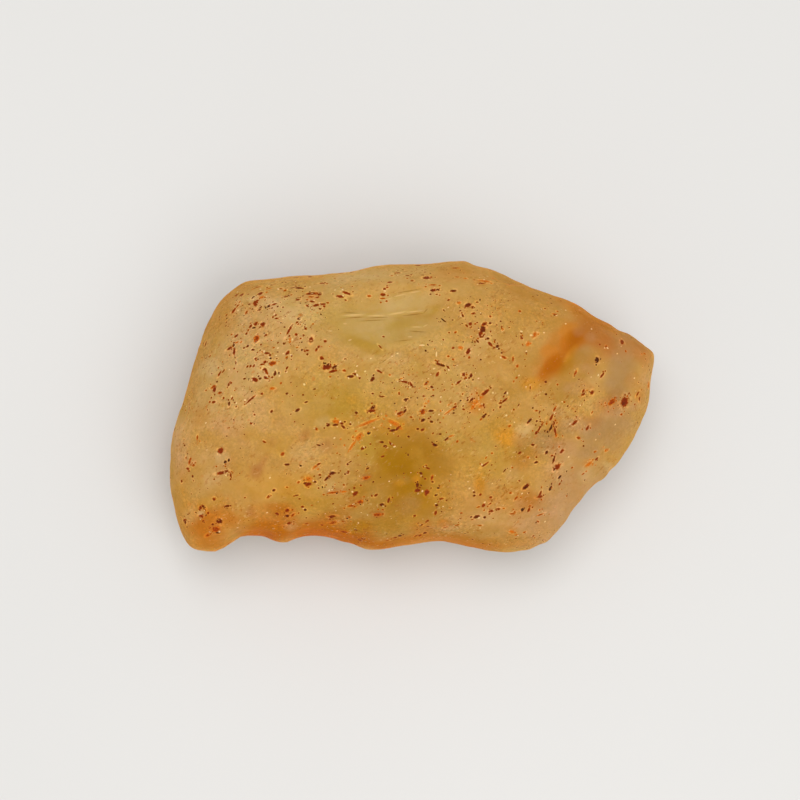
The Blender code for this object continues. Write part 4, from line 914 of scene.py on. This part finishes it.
# Where small specks crowd on the upper face: the middle and the radii of each crowd in the photograph.
CROWDS_PX = (
    (275, 318, 62, 46), (250, 362, 40, 20), (480, 320, 40, 34), (432, 400, 56, 26),
    (448, 392, 56, 34), (205, 512, 24, 30), (340, 500, 30, 40),
)

# How much thicker they lie in a crowd, where it begins to thin out and where it ends, and its least facing.
CROWDING = 2.5
CROWD_EDGE = (0.5, 1.2)
CROWD_FACING = 0.3

# How far out a speck's frame reaches, in its radii, and what a face without a speck holds.
MARK_REACH = 2.5
NO_MARK = 9.0

# A face reaches nearer to a mark than its middle does: by no more than this, in the mark's radii, and
# never so near that less than this share of the middle's distance is left.
MOST_SLACK, LEAST_LEFT = 0.9, 0.25


class Mark(NamedTuple):
    """A speck on the surface: its place, its long, cross and outward ways over its radii, and its tone."""

    place: Vector
    long_way: Vector
    cross_way: Vector
    outward: Vector
    tone: float


def mark_at(place, outward, flow, long_mm, wide_mm, tone):
    """A mark that lies flat on the surface, with its length along the flow."""
    along = (flow - outward * flow.dot(outward)).normalized()
    across = outward.cross(along)
    return Mark(place, along * (2 / long_mm), across * (2 / wide_mm), outward * (1 / long_mm), tone)


def strewn(speck, away_px, way, long_px, slenderness, turn_deg, tone):
    """A crumb or a chip that lies at a distance from a speck's middle."""
    x_px, y_px = speck.x_px + away_px * math.cos(way), speck.y_px - away_px * math.sin(way)
    return Speck(x_px, y_px, long_px, long_px * slenderness, turn_deg, tone)


def crumbs_of(specks):
    """Crumbs that broke off the larger specks, and pale glass chips and painted glints, that lie round them.
    """
    dice = np.random.default_rng(CRUMB_SEED)
    crumbs = []
    for speck in specks:
        for _ in range(dice.poisson(CRUMBS_PER_PX * max(0.0, speck.long_px - CRUMBLING_PX))):
            away_px = speck.long_px * dice.uniform(*CRUMB_AWAY)
            way = math.radians(speck.turn_deg + dice.normal(0.0, CRUMB_SPREAD_DEG) + 180 * dice.integers(2))
            long_px = dice.uniform(*CRUMB_LONG_PX)
            tone = max(speck.tone, min(RUST, speck.tone + CRUMB_TONES[dice.integers(len(CRUMB_TONES))]))
            slenderness = dice.uniform(*CRUMB_SLENDERNESS)
            crumbs.append(strewn(speck, away_px, way, long_px, slenderness, speck.turn_deg, tone))
        for _ in range(dice.poisson(CHIPS_PER_PX * speck.long_px)):
            away_px = (speck.wide_px + speck.long_px) / 2 * dice.uniform(*CHIP_AWAY)
            way = dice.uniform(0.0, 2 * math.pi)
            long_px = dice.uniform(*CHIP_LONG_PX)
            tone = CHIP_TONES[dice.integers(len(CHIP_TONES))]
            slenderness = dice.uniform(*CHIP_SLENDERNESS)
            crumbs.append(strewn(speck, away_px, way, long_px, slenderness, dice.uniform(0, 180), tone))
    return tuple(crumbs)


def read_marks(points, mesh):
    """The marks that were read from the photograph, laid on the surface where the camera sees them."""
    tree = ray_tree([Vector(point) for point in points], mesh)
    glints = tuple(Speck(x, y, GLINT_LONG_PX, GLINT_WIDE_PX, GLINT_TURN_DEG, GLINT) for x, y in GLINTS_PX)
    marks = []
    for speck in crumbs_of(SPECKS) + SPECKS + glints + SCOOP_LINES:
        place, outward, _, _ = tree.ray_cast(EYE_MM, photo_ray(speck.x_px, speck.y_px))
        if place is None:
            continue
        turn = math.radians(speck.turn_deg)
        flow = EYE_RIGHT * math.cos(turn) + EYE_UP * math.sin(turn)
        size_mm = PHOTO_PIXEL_MM * (SPECK_GROWTH if speck.tone <= ORANGE else 1.0)
        long_mm, wide_mm = speck.long_px * size_mm, speck.wide_px * size_mm
        marks.append(mark_at(place, outward, flow, long_mm, wide_mm, speck.tone))
    return marks


def sown_marks(centres, outwards, areas, facing, bare):
    """Small marks sown over the faces, thicker in crowds and absent from bare ground."""
    dice = np.random.default_rng(SPECK_SEED)
    swarm = np.exp(sum(strength * noise_at(centres, period, place) for strength, period, place in SWARMS))
    places_px = photo_places(centres)
    for crowd in CROWDS_PX:
        in_crowd = 1 - smooth_step(*CROWD_EDGE, in_ellipse(places_px, *crowd))
        swarm += CROWDING * in_crowd * (facing > CROWD_FACING)
    marks = []
    for sowing in SOWINGS:
        wanted = (facing > sowing.facing[0]) & (facing <= sowing.facing[1])
        weight = areas * swarm * wanted * (1 - bare)
        shortest_mm, longest_mm = sowing.long_mm
        for face in dice.choice(len(centres), sowing.number, p=weight / weight.sum()):
            turn = math.radians(dice.normal(SPECK_TURN_DEG, SPECK_TURN_SPREAD_DEG))
            flow = Vector((math.cos(turn), math.sin(turn), SPECK_CLIMB))
            long_mm = shortest_mm + (longest_mm - shortest_mm) * dice.random() ** 2
            wide_mm = long_mm * dice.uniform(*SPECK_SLENDERNESS)
            tone = sowing.tones[dice.integers(len(sowing.tones))]
            place, outward = Vector(centres[face]), Vector(outwards[face])
            marks.append(mark_at(place, outward, flow, long_mm, wide_mm, tone))
    return marks


def ways_of(mark):
    return [mark.long_way, mark.cross_way, mark.outward]


def deepest_marks(centres, marks):
    """For each face, the number of the mark that it lies deepest in, or -1."""
    finder = kdtree.KDTree(len(centres))
    for number, centre in enumerate(centres):
        finder.insert(centre, number)
    finder.balance()
    nearest = np.full(len(centres), MARK_REACH)
    owner = np.full(len(centres), -1)
    for number, mark in enumerate(marks):
        radius_mm = 1 / min(mark.long_way.length, mark.cross_way.length)
        found = finder.find_range(mark.place, radius_mm * MARK_REACH + FACE_SIDE_MM)
        near = np.array([face for _, face, _ in found])
        if not len(near):
            continue
        out = np.linalg.norm((centres[near] - np.array(mark.place)) @ np.array(ways_of(mark)).T, axis=1)
        slack = min(FACE_SIDE_MM / 2 * mark.cross_way.length, MOST_SLACK)
        out = np.maximum(out - slack, out * LEAST_LEFT)
        better = out < nearest[near]
        nearest[near[better]] = out[better]
        owner[near[better]] = number
    return owner


def write_marks(mesh, points, owner, marks):
    """Gives each face's corners their places in its mark's frame, and each face its mark's tone."""
    corners = np.empty(len(mesh.loops), dtype=np.int32)
    mesh.loops.foreach_get("vertex_index", corners)
    owners = np.repeat(owner, 4)
    marked = owners >= 0
    mark_of = owners[marked]
    ways = np.array([ways_of(mark) for mark in marks])
    middles = np.array([mark.place for mark in marks])
    places = np.full((len(corners), 3), NO_MARK)
    places[marked] = np.einsum("nij,nj->ni", ways[mark_of], points[corners[marked]] - middles[mark_of])
    tones = np.where(owner >= 0, np.array([mark.tone for mark in marks])[owner], 0.0)
    mesh.attributes.new("mark", "FLOAT_VECTOR", "CORNER").data.foreach_set("vector", places.ravel())
    mesh.attributes.new("tone", "FLOAT", "FACE").data.foreach_set("value", tones)


def write_skin(mesh, colours, frost):
    skin = mesh.attributes.new("skin", "FLOAT_COLOR", "POINT")
    skin.data.foreach_set("color", np.hstack([colours, np.ones((len(colours), 1))]).ravel())
    mesh.attributes.new("frost", "FLOAT", "POINT").data.foreach_set("value", frost)


def make_surface():
    """The stone's fine surface, with its relief, its colours and its marks."""
    mesh, ball = ball_mesh()
    points = smoothed(mesh, on_solid(ball))
    write_points(mesh, points)
    points = raise_relief(mesh, points)
    facing = facing_of(values_of(mesh.vertices, "normal"))
    places_px = photo_places(points)
    write_skin(mesh, skin_colours(points, places_px, facing), 1 - smooth_share(places_px, facing))
    centres = values_of(mesh.polygons, "center") / MM
    outwards = values_of(mesh.polygons, "normal")
    areas = values_of(mesh.polygons, "area", 1)[:, 0]
    bare = smooth_share(photo_places(centres), facing_of(outwards))
    marks = read_marks(points, mesh) + sown_marks(centres, outwards, areas, facing_of(outwards), bare)
    write_marks(mesh, points, deepest_marks(centres, marks), marks)
    mesh.shade_smooth()
    stone = bpy.data.objects.new("desert_glass_surface", mesh)
    bpy.context.scene.collection.objects.link(stone)
    return stone


# The material

class Waver(NamedTuple):
    """Noise made into a value: its period, detail and roughness, and the span that becomes the values."""

    period_mm: float
    detail: float
    roughness: float
    span: tuple
    values: tuple = (0.0, 1.0)
    kind: str = "LINEAR"


class Graph:
    """Adds shader nodes to one material and links them."""

    def __init__(self, name):
        self.material = bpy.data.materials.new(name)
        self.material.use_nodes = True
        self.tree = self.material.node_tree
        self.tree.nodes.clear()

    def add(self, kind, inputs, **settings):
        node = self.tree.nodes.new(kind)
        for name, value in settings.items():
            setattr(node, name, value)
        for name, value in inputs.items():
            if isinstance(value, bpy.types.NodeSocket):
                self.tree.links.new(value, node.inputs[name])
            else:
                node.inputs[name].default_value = value
        return node

    def place_mm(self):
        place = self.add("ShaderNodeTexCoord", {}).outputs["Object"]
        return self.add("ShaderNodeVectorMath", {0: place, "Scale": 1 / MM}, operation="SCALE").outputs[0]

    def math(self, operation, first, second=0.0):
        return self.add("ShaderNodeMath", {0: first, 1: second}, operation=operation).outputs[0]

    def vector(self, operation, first, second):
        return self.add("ShaderNodeVectorMath", {0: first, 1: second}, operation=operation).outputs[0]

    def product(self, first, *others):
        for other in others:
            first = self.math("MULTIPLY", first, other)
        return first

    def sum(self, first, *others):
        for other in others:
            first = self.math("ADD", first, other)
        return first

    def rest_of(self, share):
        return self.math("SUBTRACT", 1.0, share)

    def noise(self, place_mm, period_mm, detail, roughness):
        inputs = {"Vector": place_mm, "Scale": 1 / period_mm, "Detail": detail, "Roughness": roughness}
        return self.add("ShaderNodeTexNoise", inputs).outputs[0]

    def remap(self, value, span, values=(0.0, 1.0), kind="SMOOTHSTEP"):
        inputs = {0: value, 1: span[0], 2: span[1], 3: values[0], 4: values[1]}
        return self.add("ShaderNodeMapRange", inputs, interpolation_type=kind).outputs[0]

    def waver(self, place_mm, waver):
        return self.remap(self.noise(place_mm, *waver[:3]), waver.span, waver.values, waver.kind)

    def blend(self, share, first, second, kind="MIX"):
        inputs = {0: share, 6: first, 7: second}
        return self.add("ShaderNodeMix", inputs, data_type="RGBA", blend_type=kind).outputs[2]

    def grey(self, value):
        return self.add("ShaderNodeCombineColor", {0: value, 1: value, 2: value}).outputs[0]

    def attribute(self, name, output):
        return self.add("ShaderNodeAttribute", {}, attribute_name=name).outputs[output]

    def ramp(self, value, stops):
        node = self.add("ShaderNodeValToRGB", {0: value})
        elements = node.color_ramp.elements
        while len(elements) < len(stops):
            elements.new(1.0)
        for element, (position, colour) in zip(elements, stops):
            element.position = position
            element.color = opaque(srgb(colour))
        return node.outputs[0]


# The colour of each tone. The GLINT colour is a painted highlight.
MARK_COLOURS = (
    (BLACK, (66, 28, 6)),
    (DARK, (108, 34, 2)),
    (RED, (138, 42, 2)),
    (RUST, (162, 62, 2)),
    (ORANGE, (218, 116, 14)),
    (GLINT, (238, 208, 148)),
    (PALE_LINE, (222, 186, 122)),
    (OLIVE_LINE, (156, 112, 34)),
)

# The edge of a mark is ragged, by noise that is 0.5 on average. A speck ends sharply, but softly where it
# is orange, and a line fades from its middle outwards. Distances are in the mark's radii.
RAGGED_NOISE, RAGGED_MIDDLE = (0.20, 3.0, 0.65), 0.5
SPECK_RAGGED, LINE_RAGGED = 1.5, 0.6
SPECK_END, SPECK_SOFTNESS, ORANGE_SOFTNESS = 1.04, 0.08, 0.60
LINE_FADES, LINE_STRENGTH = (0.20, 1.25), 0.85

# How much warmer a speck's tone becomes towards its edge, and along veins.
EDGE_WARMS, EDGE_WARMTH = (0.45, 1.1), (-0.06, 0.10)
VEINS = Waver(0.14, 2.0, 0.5, (0.3, 0.7), (-0.05, 0.10))

# Round each speck the glass is stained by a halo, and brighter in a broken ring beyond it.
SPECK_HALO, HALO_FADES, HALO_STRENGTH = (186, 104, 30), (0.9, 1.5), 0.34
PALE_RING, RING_RISES, RING_FADES = (1.42, 1.47, 1.60), (1.1, 1.5), (1.5, 2.5)
RING_PARTS = Waver(0.40, 2.0, 0.5, (0.42, 0.60), (0.0, 0.85), "SMOOTHSTEP")

# Cloudy mottling and smaller patches: what they multiply the skin's colour by, from one end to the other.
CLOUDINESS = Waver(1.5, 5.0, 0.65, (0.32, 0.68))
CLOUDY_TINTS = ((0.95, 0.92, 0.78), (1.04, 1.06, 1.20))
PATCHINESS = Waver(0.5, 3.0, 0.6, (0.34, 0.66))
PATCH_TINTS = ((0.95, 0.95, 0.89), (1.05, 1.05, 1.11))

# Grain, and where it shows.
GRAIN = Waver(0.20, 3.0, 0.7, (0.30, 0.70), (0.80, 1.24))
GRAINED = Waver(2.8, 2.0, 0.5, (0.38, 0.62), (0.15, 1.0), "SMOOTHSTEP")

# The ground's fine speckle, stretched along the grain: each colour, its noise's period, where on the
# noise it begins, and its strength.
FLECK = (164, 92, 20)
POWDER = (232, 196, 126)
EMBER = (204, 108, 26)
SPECKLES = ((FLECK, 0.21, 0.585, 0.62), (POWDER, 0.22, 0.612, 0.36), (EMBER, 0.30, 0.645, 0.45))
GRAIN_STRETCH = (0.55, 1.0, 1.0)
GRAIN_TURN_DEG = 38.0

# The detail and roughness of that noise, how much further on it a speckle is whole, how far away the next
# colour's noise lies, and where the speckle shows.
SPECKLE_NOISE, SPECKLE_RISE = (2.0, 0.6), 0.06
SPECKLE_SHIFT_MM = (7.3, 1.9, 4.1)
SPECKLED = Waver(2.2, 2.0, 0.5, (0.42, 0.60), (0.15, 1.0), "SMOOTHSTEP")

# The finest relief: the period, detail, roughness and height of the frosting and of the worn skin, the
# shallow pits, the specks' holes, and how much of the relief is left on smooth ground.
RIPPLES_MM = ((0.13, 3.0, 0.7, 0.010), (0.6, 3.0, 0.55, 0.030))
PITS_PER_MM, PIT_WIDTH, PIT_DEPTH_MM = 1.9, 0.35, 0.012
SPECK_DEPTH_MM = 0.018
SMOOTH_RELIEF = 0.35

# The surface's gloss.
FROST_ROUGHNESS, SMOOTH_ROUGHNESS = 0.80, 0.70
GLOSS_PATCHES = Waver(0.7, 3.0, 0.5, (0.3, 0.7), (-0.06, 0.06), "SMOOTHSTEP")
GLINT_POLISH = 0.30
SPECULAR_LEVEL, SPECULAR_TINT = 0.15, (1.0, 0.86, 0.58)

# The glass itself: how much of it is clear, how milky the rest is, how far light scatters in it in red,
# green and blue, and the colour that a long way through it keeps.
GLASS_IOR = 1.46
TRANSMISSION = 0.22
MILKINESS = 0.80
SCATTER_MM, SCATTER_SHARES = 2.2, (1.0, 0.62, 0.28)
ABSORPTION_PER_MM, ABSORPTION_COLOUR = 0.06, (1.0, 0.72, 0.30)


def mottled_skin(graph, place_mm, frost):
    """The clouded skin, with cloudy mottling, grain, faint brown flecks and a pale powder."""
    tint = graph.blend(graph.waver(place_mm, CLOUDINESS), *map(opaque, CLOUDY_TINTS))
    patches = graph.blend(graph.waver(place_mm, PATCHINESS), *map(opaque, PATCH_TINTS))
    skin = graph.blend(1.0, graph.attribute("skin", "Color"), tint, "MULTIPLY")
    skin = graph.blend(frost, skin, graph.blend(1.0, skin, patches, "MULTIPLY"))
    grained = graph.product(graph.waver(place_mm, GRAINED), frost)
    skin = graph.blend(grained, skin, graph.grey(graph.waver(place_mm, GRAIN)), "MULTIPLY")
    speckled = graph.waver(place_mm, SPECKLED)
    inputs = {"Vector": place_mm, "Angle": math.radians(-GRAIN_TURN_DEG)}
    along = graph.vector("MULTIPLY", graph.add("ShaderNodeVectorRotate", inputs).outputs[0], GRAIN_STRETCH)
    for colour, period_mm, begins, strength in SPECKLES:
        speckle = graph.noise(along, period_mm, *SPECKLE_NOISE)
        speckle = graph.remap(speckle, (begins, begins + SPECKLE_RISE), (0.0, strength))
        skin = graph.blend(graph.product(speckle, speckled, frost), skin, opaque(srgb(colour)))
        along = graph.vector("ADD", along, SPECKLE_SHIFT_MM)
    return skin


def skin_relief(graph, place_mm, frost, in_speck):
    """The finest relief: the frosting, shallow worn pits, and the specks' small holes."""
    ripples = [graph.product(graph.noise(place_mm, *noise), height_mm) for *noise, height_mm in RIPPLES_MM]
    cells = graph.add("ShaderNodeTexVoronoi", {"Vector": place_mm, "Scale": PITS_PER_MM}).outputs["Distance"]
    height = graph.sum(*ripples, graph.remap(cells, (0.0, PIT_WIDTH), (-PIT_DEPTH_MM, 0.0)))
    height = graph.product(height, graph.remap(frost, (0.0, 1.0), (SMOOTH_RELIEF, 1.0), "LINEAR"))
    height = graph.math("SUBTRACT", height, graph.product(in_speck, SPECK_DEPTH_MM))
    return graph.add("ShaderNodeBump", {"Height": height, "Distance": MM, "Strength": 1.0}).outputs[0]


def in_marks(graph, place_mm, tone, is_line):
    """How far out of its mark each place lies, and how much it belongs to a speck and to a line."""
    mark = graph.attribute("mark", "Vector")
    out = graph.add("ShaderNodeVectorMath", {0: mark}, operation="LENGTH").outputs[1]
    ragged = graph.math("SUBTRACT", graph.noise(place_mm, *RAGGED_NOISE), RAGGED_MIDDLE)
    raggedness = graph.remap(is_line, (0.0, 1.0), (SPECK_RAGGED, LINE_RAGGED), "LINEAR")
    out = graph.sum(out, graph.product(ragged, raggedness))
    from_orange = graph.math("ABSOLUTE", graph.math("SUBTRACT", tone, ORANGE))
    softness = graph.remap(from_orange, (0.0, TONE_STEP), (ORANGE_SOFTNESS, 0.0))
    sharp = graph.math("DIVIDE", graph.math("SUBTRACT", out, SPECK_END), graph.sum(SPECK_SOFTNESS, softness))
    in_speck = graph.product(graph.remap(sharp, (-1.0, 1.0), (1.0, 0.0)), graph.rest_of(is_line))
    in_line = graph.product(graph.remap(out, LINE_FADES, (LINE_STRENGTH, 0.0)), is_line)
    return out, in_speck, in_line


def ringed_skin(graph, place_mm, skin, out, is_speck):
    """The skin, with a pale broken ring and a warm stain round each speck."""
    ring = graph.product(graph.remap(out, RING_RISES), graph.remap(out, RING_FADES, (1.0, 0.0)))
    ring = graph.product(ring, graph.waver(place_mm, RING_PARTS), is_speck)
    skin = graph.blend(ring, skin, opaque(PALE_RING), "MULTIPLY")
    halo = graph.product(graph.remap(out, HALO_FADES, (HALO_STRENGTH, 0.0)), is_speck)
    return graph.blend(halo, skin, opaque(srgb(SPECK_HALO)))


def mark_colour(graph, place_mm, tone, out, is_speck):
    """The colour of specks, which turn to orange at their edge, and of lines, and of glints, which are
    painted highlights.
    """
    warmer = graph.sum(tone, graph.waver(place_mm, VEINS), graph.remap(out, EDGE_WARMS, EDGE_WARMTH))
    pale = graph.product(tone, graph.rest_of(is_speck))
    return graph.ramp(graph.math("MAXIMUM", graph.math("MINIMUM", warmer, ORANGE), pale), MARK_COLOURS)


def glass_material():
    """Cloudy natural glass: a frosted skin, milky depth, iron specks and painted glints at tiny pits."""
    graph = Graph("desert_glass_frosted")
    place_mm = graph.place_mm()
    frost = graph.attribute("frost", "Fac")
    tone = graph.attribute("tone", "Fac")
    is_line = graph.math("GREATER_THAN", tone, (GLINT + PALE_LINE) / 2)
    is_speck = graph.math("LESS_THAN", tone, (ORANGE + GLINT) / 2)
    out, in_speck, in_line = in_marks(graph, place_mm, tone, is_line)

    skin = ringed_skin(graph, place_mm, mottled_skin(graph, place_mm, frost), out, is_speck)
    mark = mark_colour(graph, place_mm, tone, out, is_speck)
    colour = graph.blend(graph.sum(in_speck, in_line), skin, mark)
    roughness = graph.remap(frost, (0.0, 1.0), (SMOOTH_ROUGHNESS, FROST_ROUGHNESS), "LINEAR")
    roughness = graph.sum(roughness, graph.waver(place_mm, GLOSS_PATCHES))
    is_glint = graph.product(graph.rest_of(is_speck), in_speck)
    roughness = graph.math("SUBTRACT", roughness, graph.product(is_glint, GLINT_POLISH))

    glass = graph.add("ShaderNodeBsdfPrincipled", {
        "Base Color": colour,
        "Roughness": roughness,
        "Normal": skin_relief(graph, place_mm, frost, graph.product(in_speck, is_speck)),
        "IOR": GLASS_IOR,
        "Specular IOR Level": SPECULAR_LEVEL,
        "Specular Tint": opaque(SPECULAR_TINT),
        "Transmission Weight": TRANSMISSION,
        "Subsurface Weight": MILKINESS,
        "Subsurface Radius": SCATTER_SHARES,
        "Subsurface Scale": SCATTER_MM * MM,
    }, subsurface_method="RANDOM_WALK")
    inputs = {"Color": opaque(ABSORPTION_COLOUR), "Density": ABSORPTION_PER_MM / MM}
    absorption = graph.add("ShaderNodeVolumeAbsorption", inputs)
    graph.add("ShaderNodeOutputMaterial", {"Surface": glass.outputs[0], "Volume": absorption.outputs[0]})
    return graph.material


# The floor and the light

FLOOR_HALF_MM = 400.0
FLOOR_NOISE = (60.0, 2.0, 0.5)
FLOOR_COLOURS = ((0.0, (203, 202, 200)), (1.0, (209, 208, 206)))
FLOOR_ROUGHNESS = 0.7

SKY_COLOUR, SKY_STRENGTH = (1.0, 0.99, 0.97), 0.66

# Square soft lamps that shine at the stone: the place, the side and the power of each.
LAMPS = (("key", (-50, 70, 370), 260, 0.65), ("fill", (110, -170, 300), 260, 0.50))


def floor_material():
    graph = Graph("pale_floor")
    colour = graph.ramp(graph.noise(graph.place_mm(), *FLOOR_NOISE), FLOOR_COLOURS)
    plain = graph.add("ShaderNodeBsdfPrincipled", {"Base Color": colour, "Roughness": FLOOR_ROUGHNESS})
    graph.add("ShaderNodeOutputMaterial", {"Surface": plain.outputs[0]})
    return graph.material


def make_floor():
    mesh = bpy.data.meshes.new("floor")
    half = FLOOR_HALF_MM * MM
    corners = [(-half, -half, 0), (half, -half, 0), (half, half, 0), (-half, half, 0)]
    mesh.from_pydata(corners, [], [(0, 1, 2, 3)])
    mesh.materials.append(floor_material())
    floor = bpy.data.objects.new("floor", mesh)
    bpy.context.scene.collection.objects.link(floor)


def make_lamp(name, place_mm, side_mm, watts):
    light = bpy.data.lights.new(name, "AREA")
    light.shape = "SQUARE"
    light.size = side_mm * MM
    light.energy = watts
    lamp = bpy.data.objects.new(name, light)
    lamp.location = Vector(place_mm) * MM
    away = Vector(place_mm) - Vector((0, 0, RIM_HEIGHT_MM))
    lamp.rotation_euler = away.to_track_quat("Z", "Y").to_euler()
    bpy.context.scene.collection.objects.link(lamp)


def make_light():
    world = bpy.data.worlds.new("studio")
    world.use_nodes = True
    world.node_tree.nodes.clear()
    sky = world.node_tree.nodes.new("ShaderNodeBackground")
    sky.inputs["Color"].default_value = opaque(SKY_COLOUR)
    sky.inputs["Strength"].default_value = SKY_STRENGTH
    out = world.node_tree.nodes.new("ShaderNodeOutputWorld")
    world.node_tree.links.new(sky.outputs[0], out.inputs[0])
    bpy.context.scene.world = world
    for lamp in LAMPS:
        make_lamp(*lamp)
    bpy.context.scene.view_settings.view_transform = "Standard"


def main():
    make_camera()
    stone = make_surface()
    stone.data.materials.append(glass_material())
    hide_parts("desert_glass")
    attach(stone, "root")
    make_floor()
    make_light()


main()
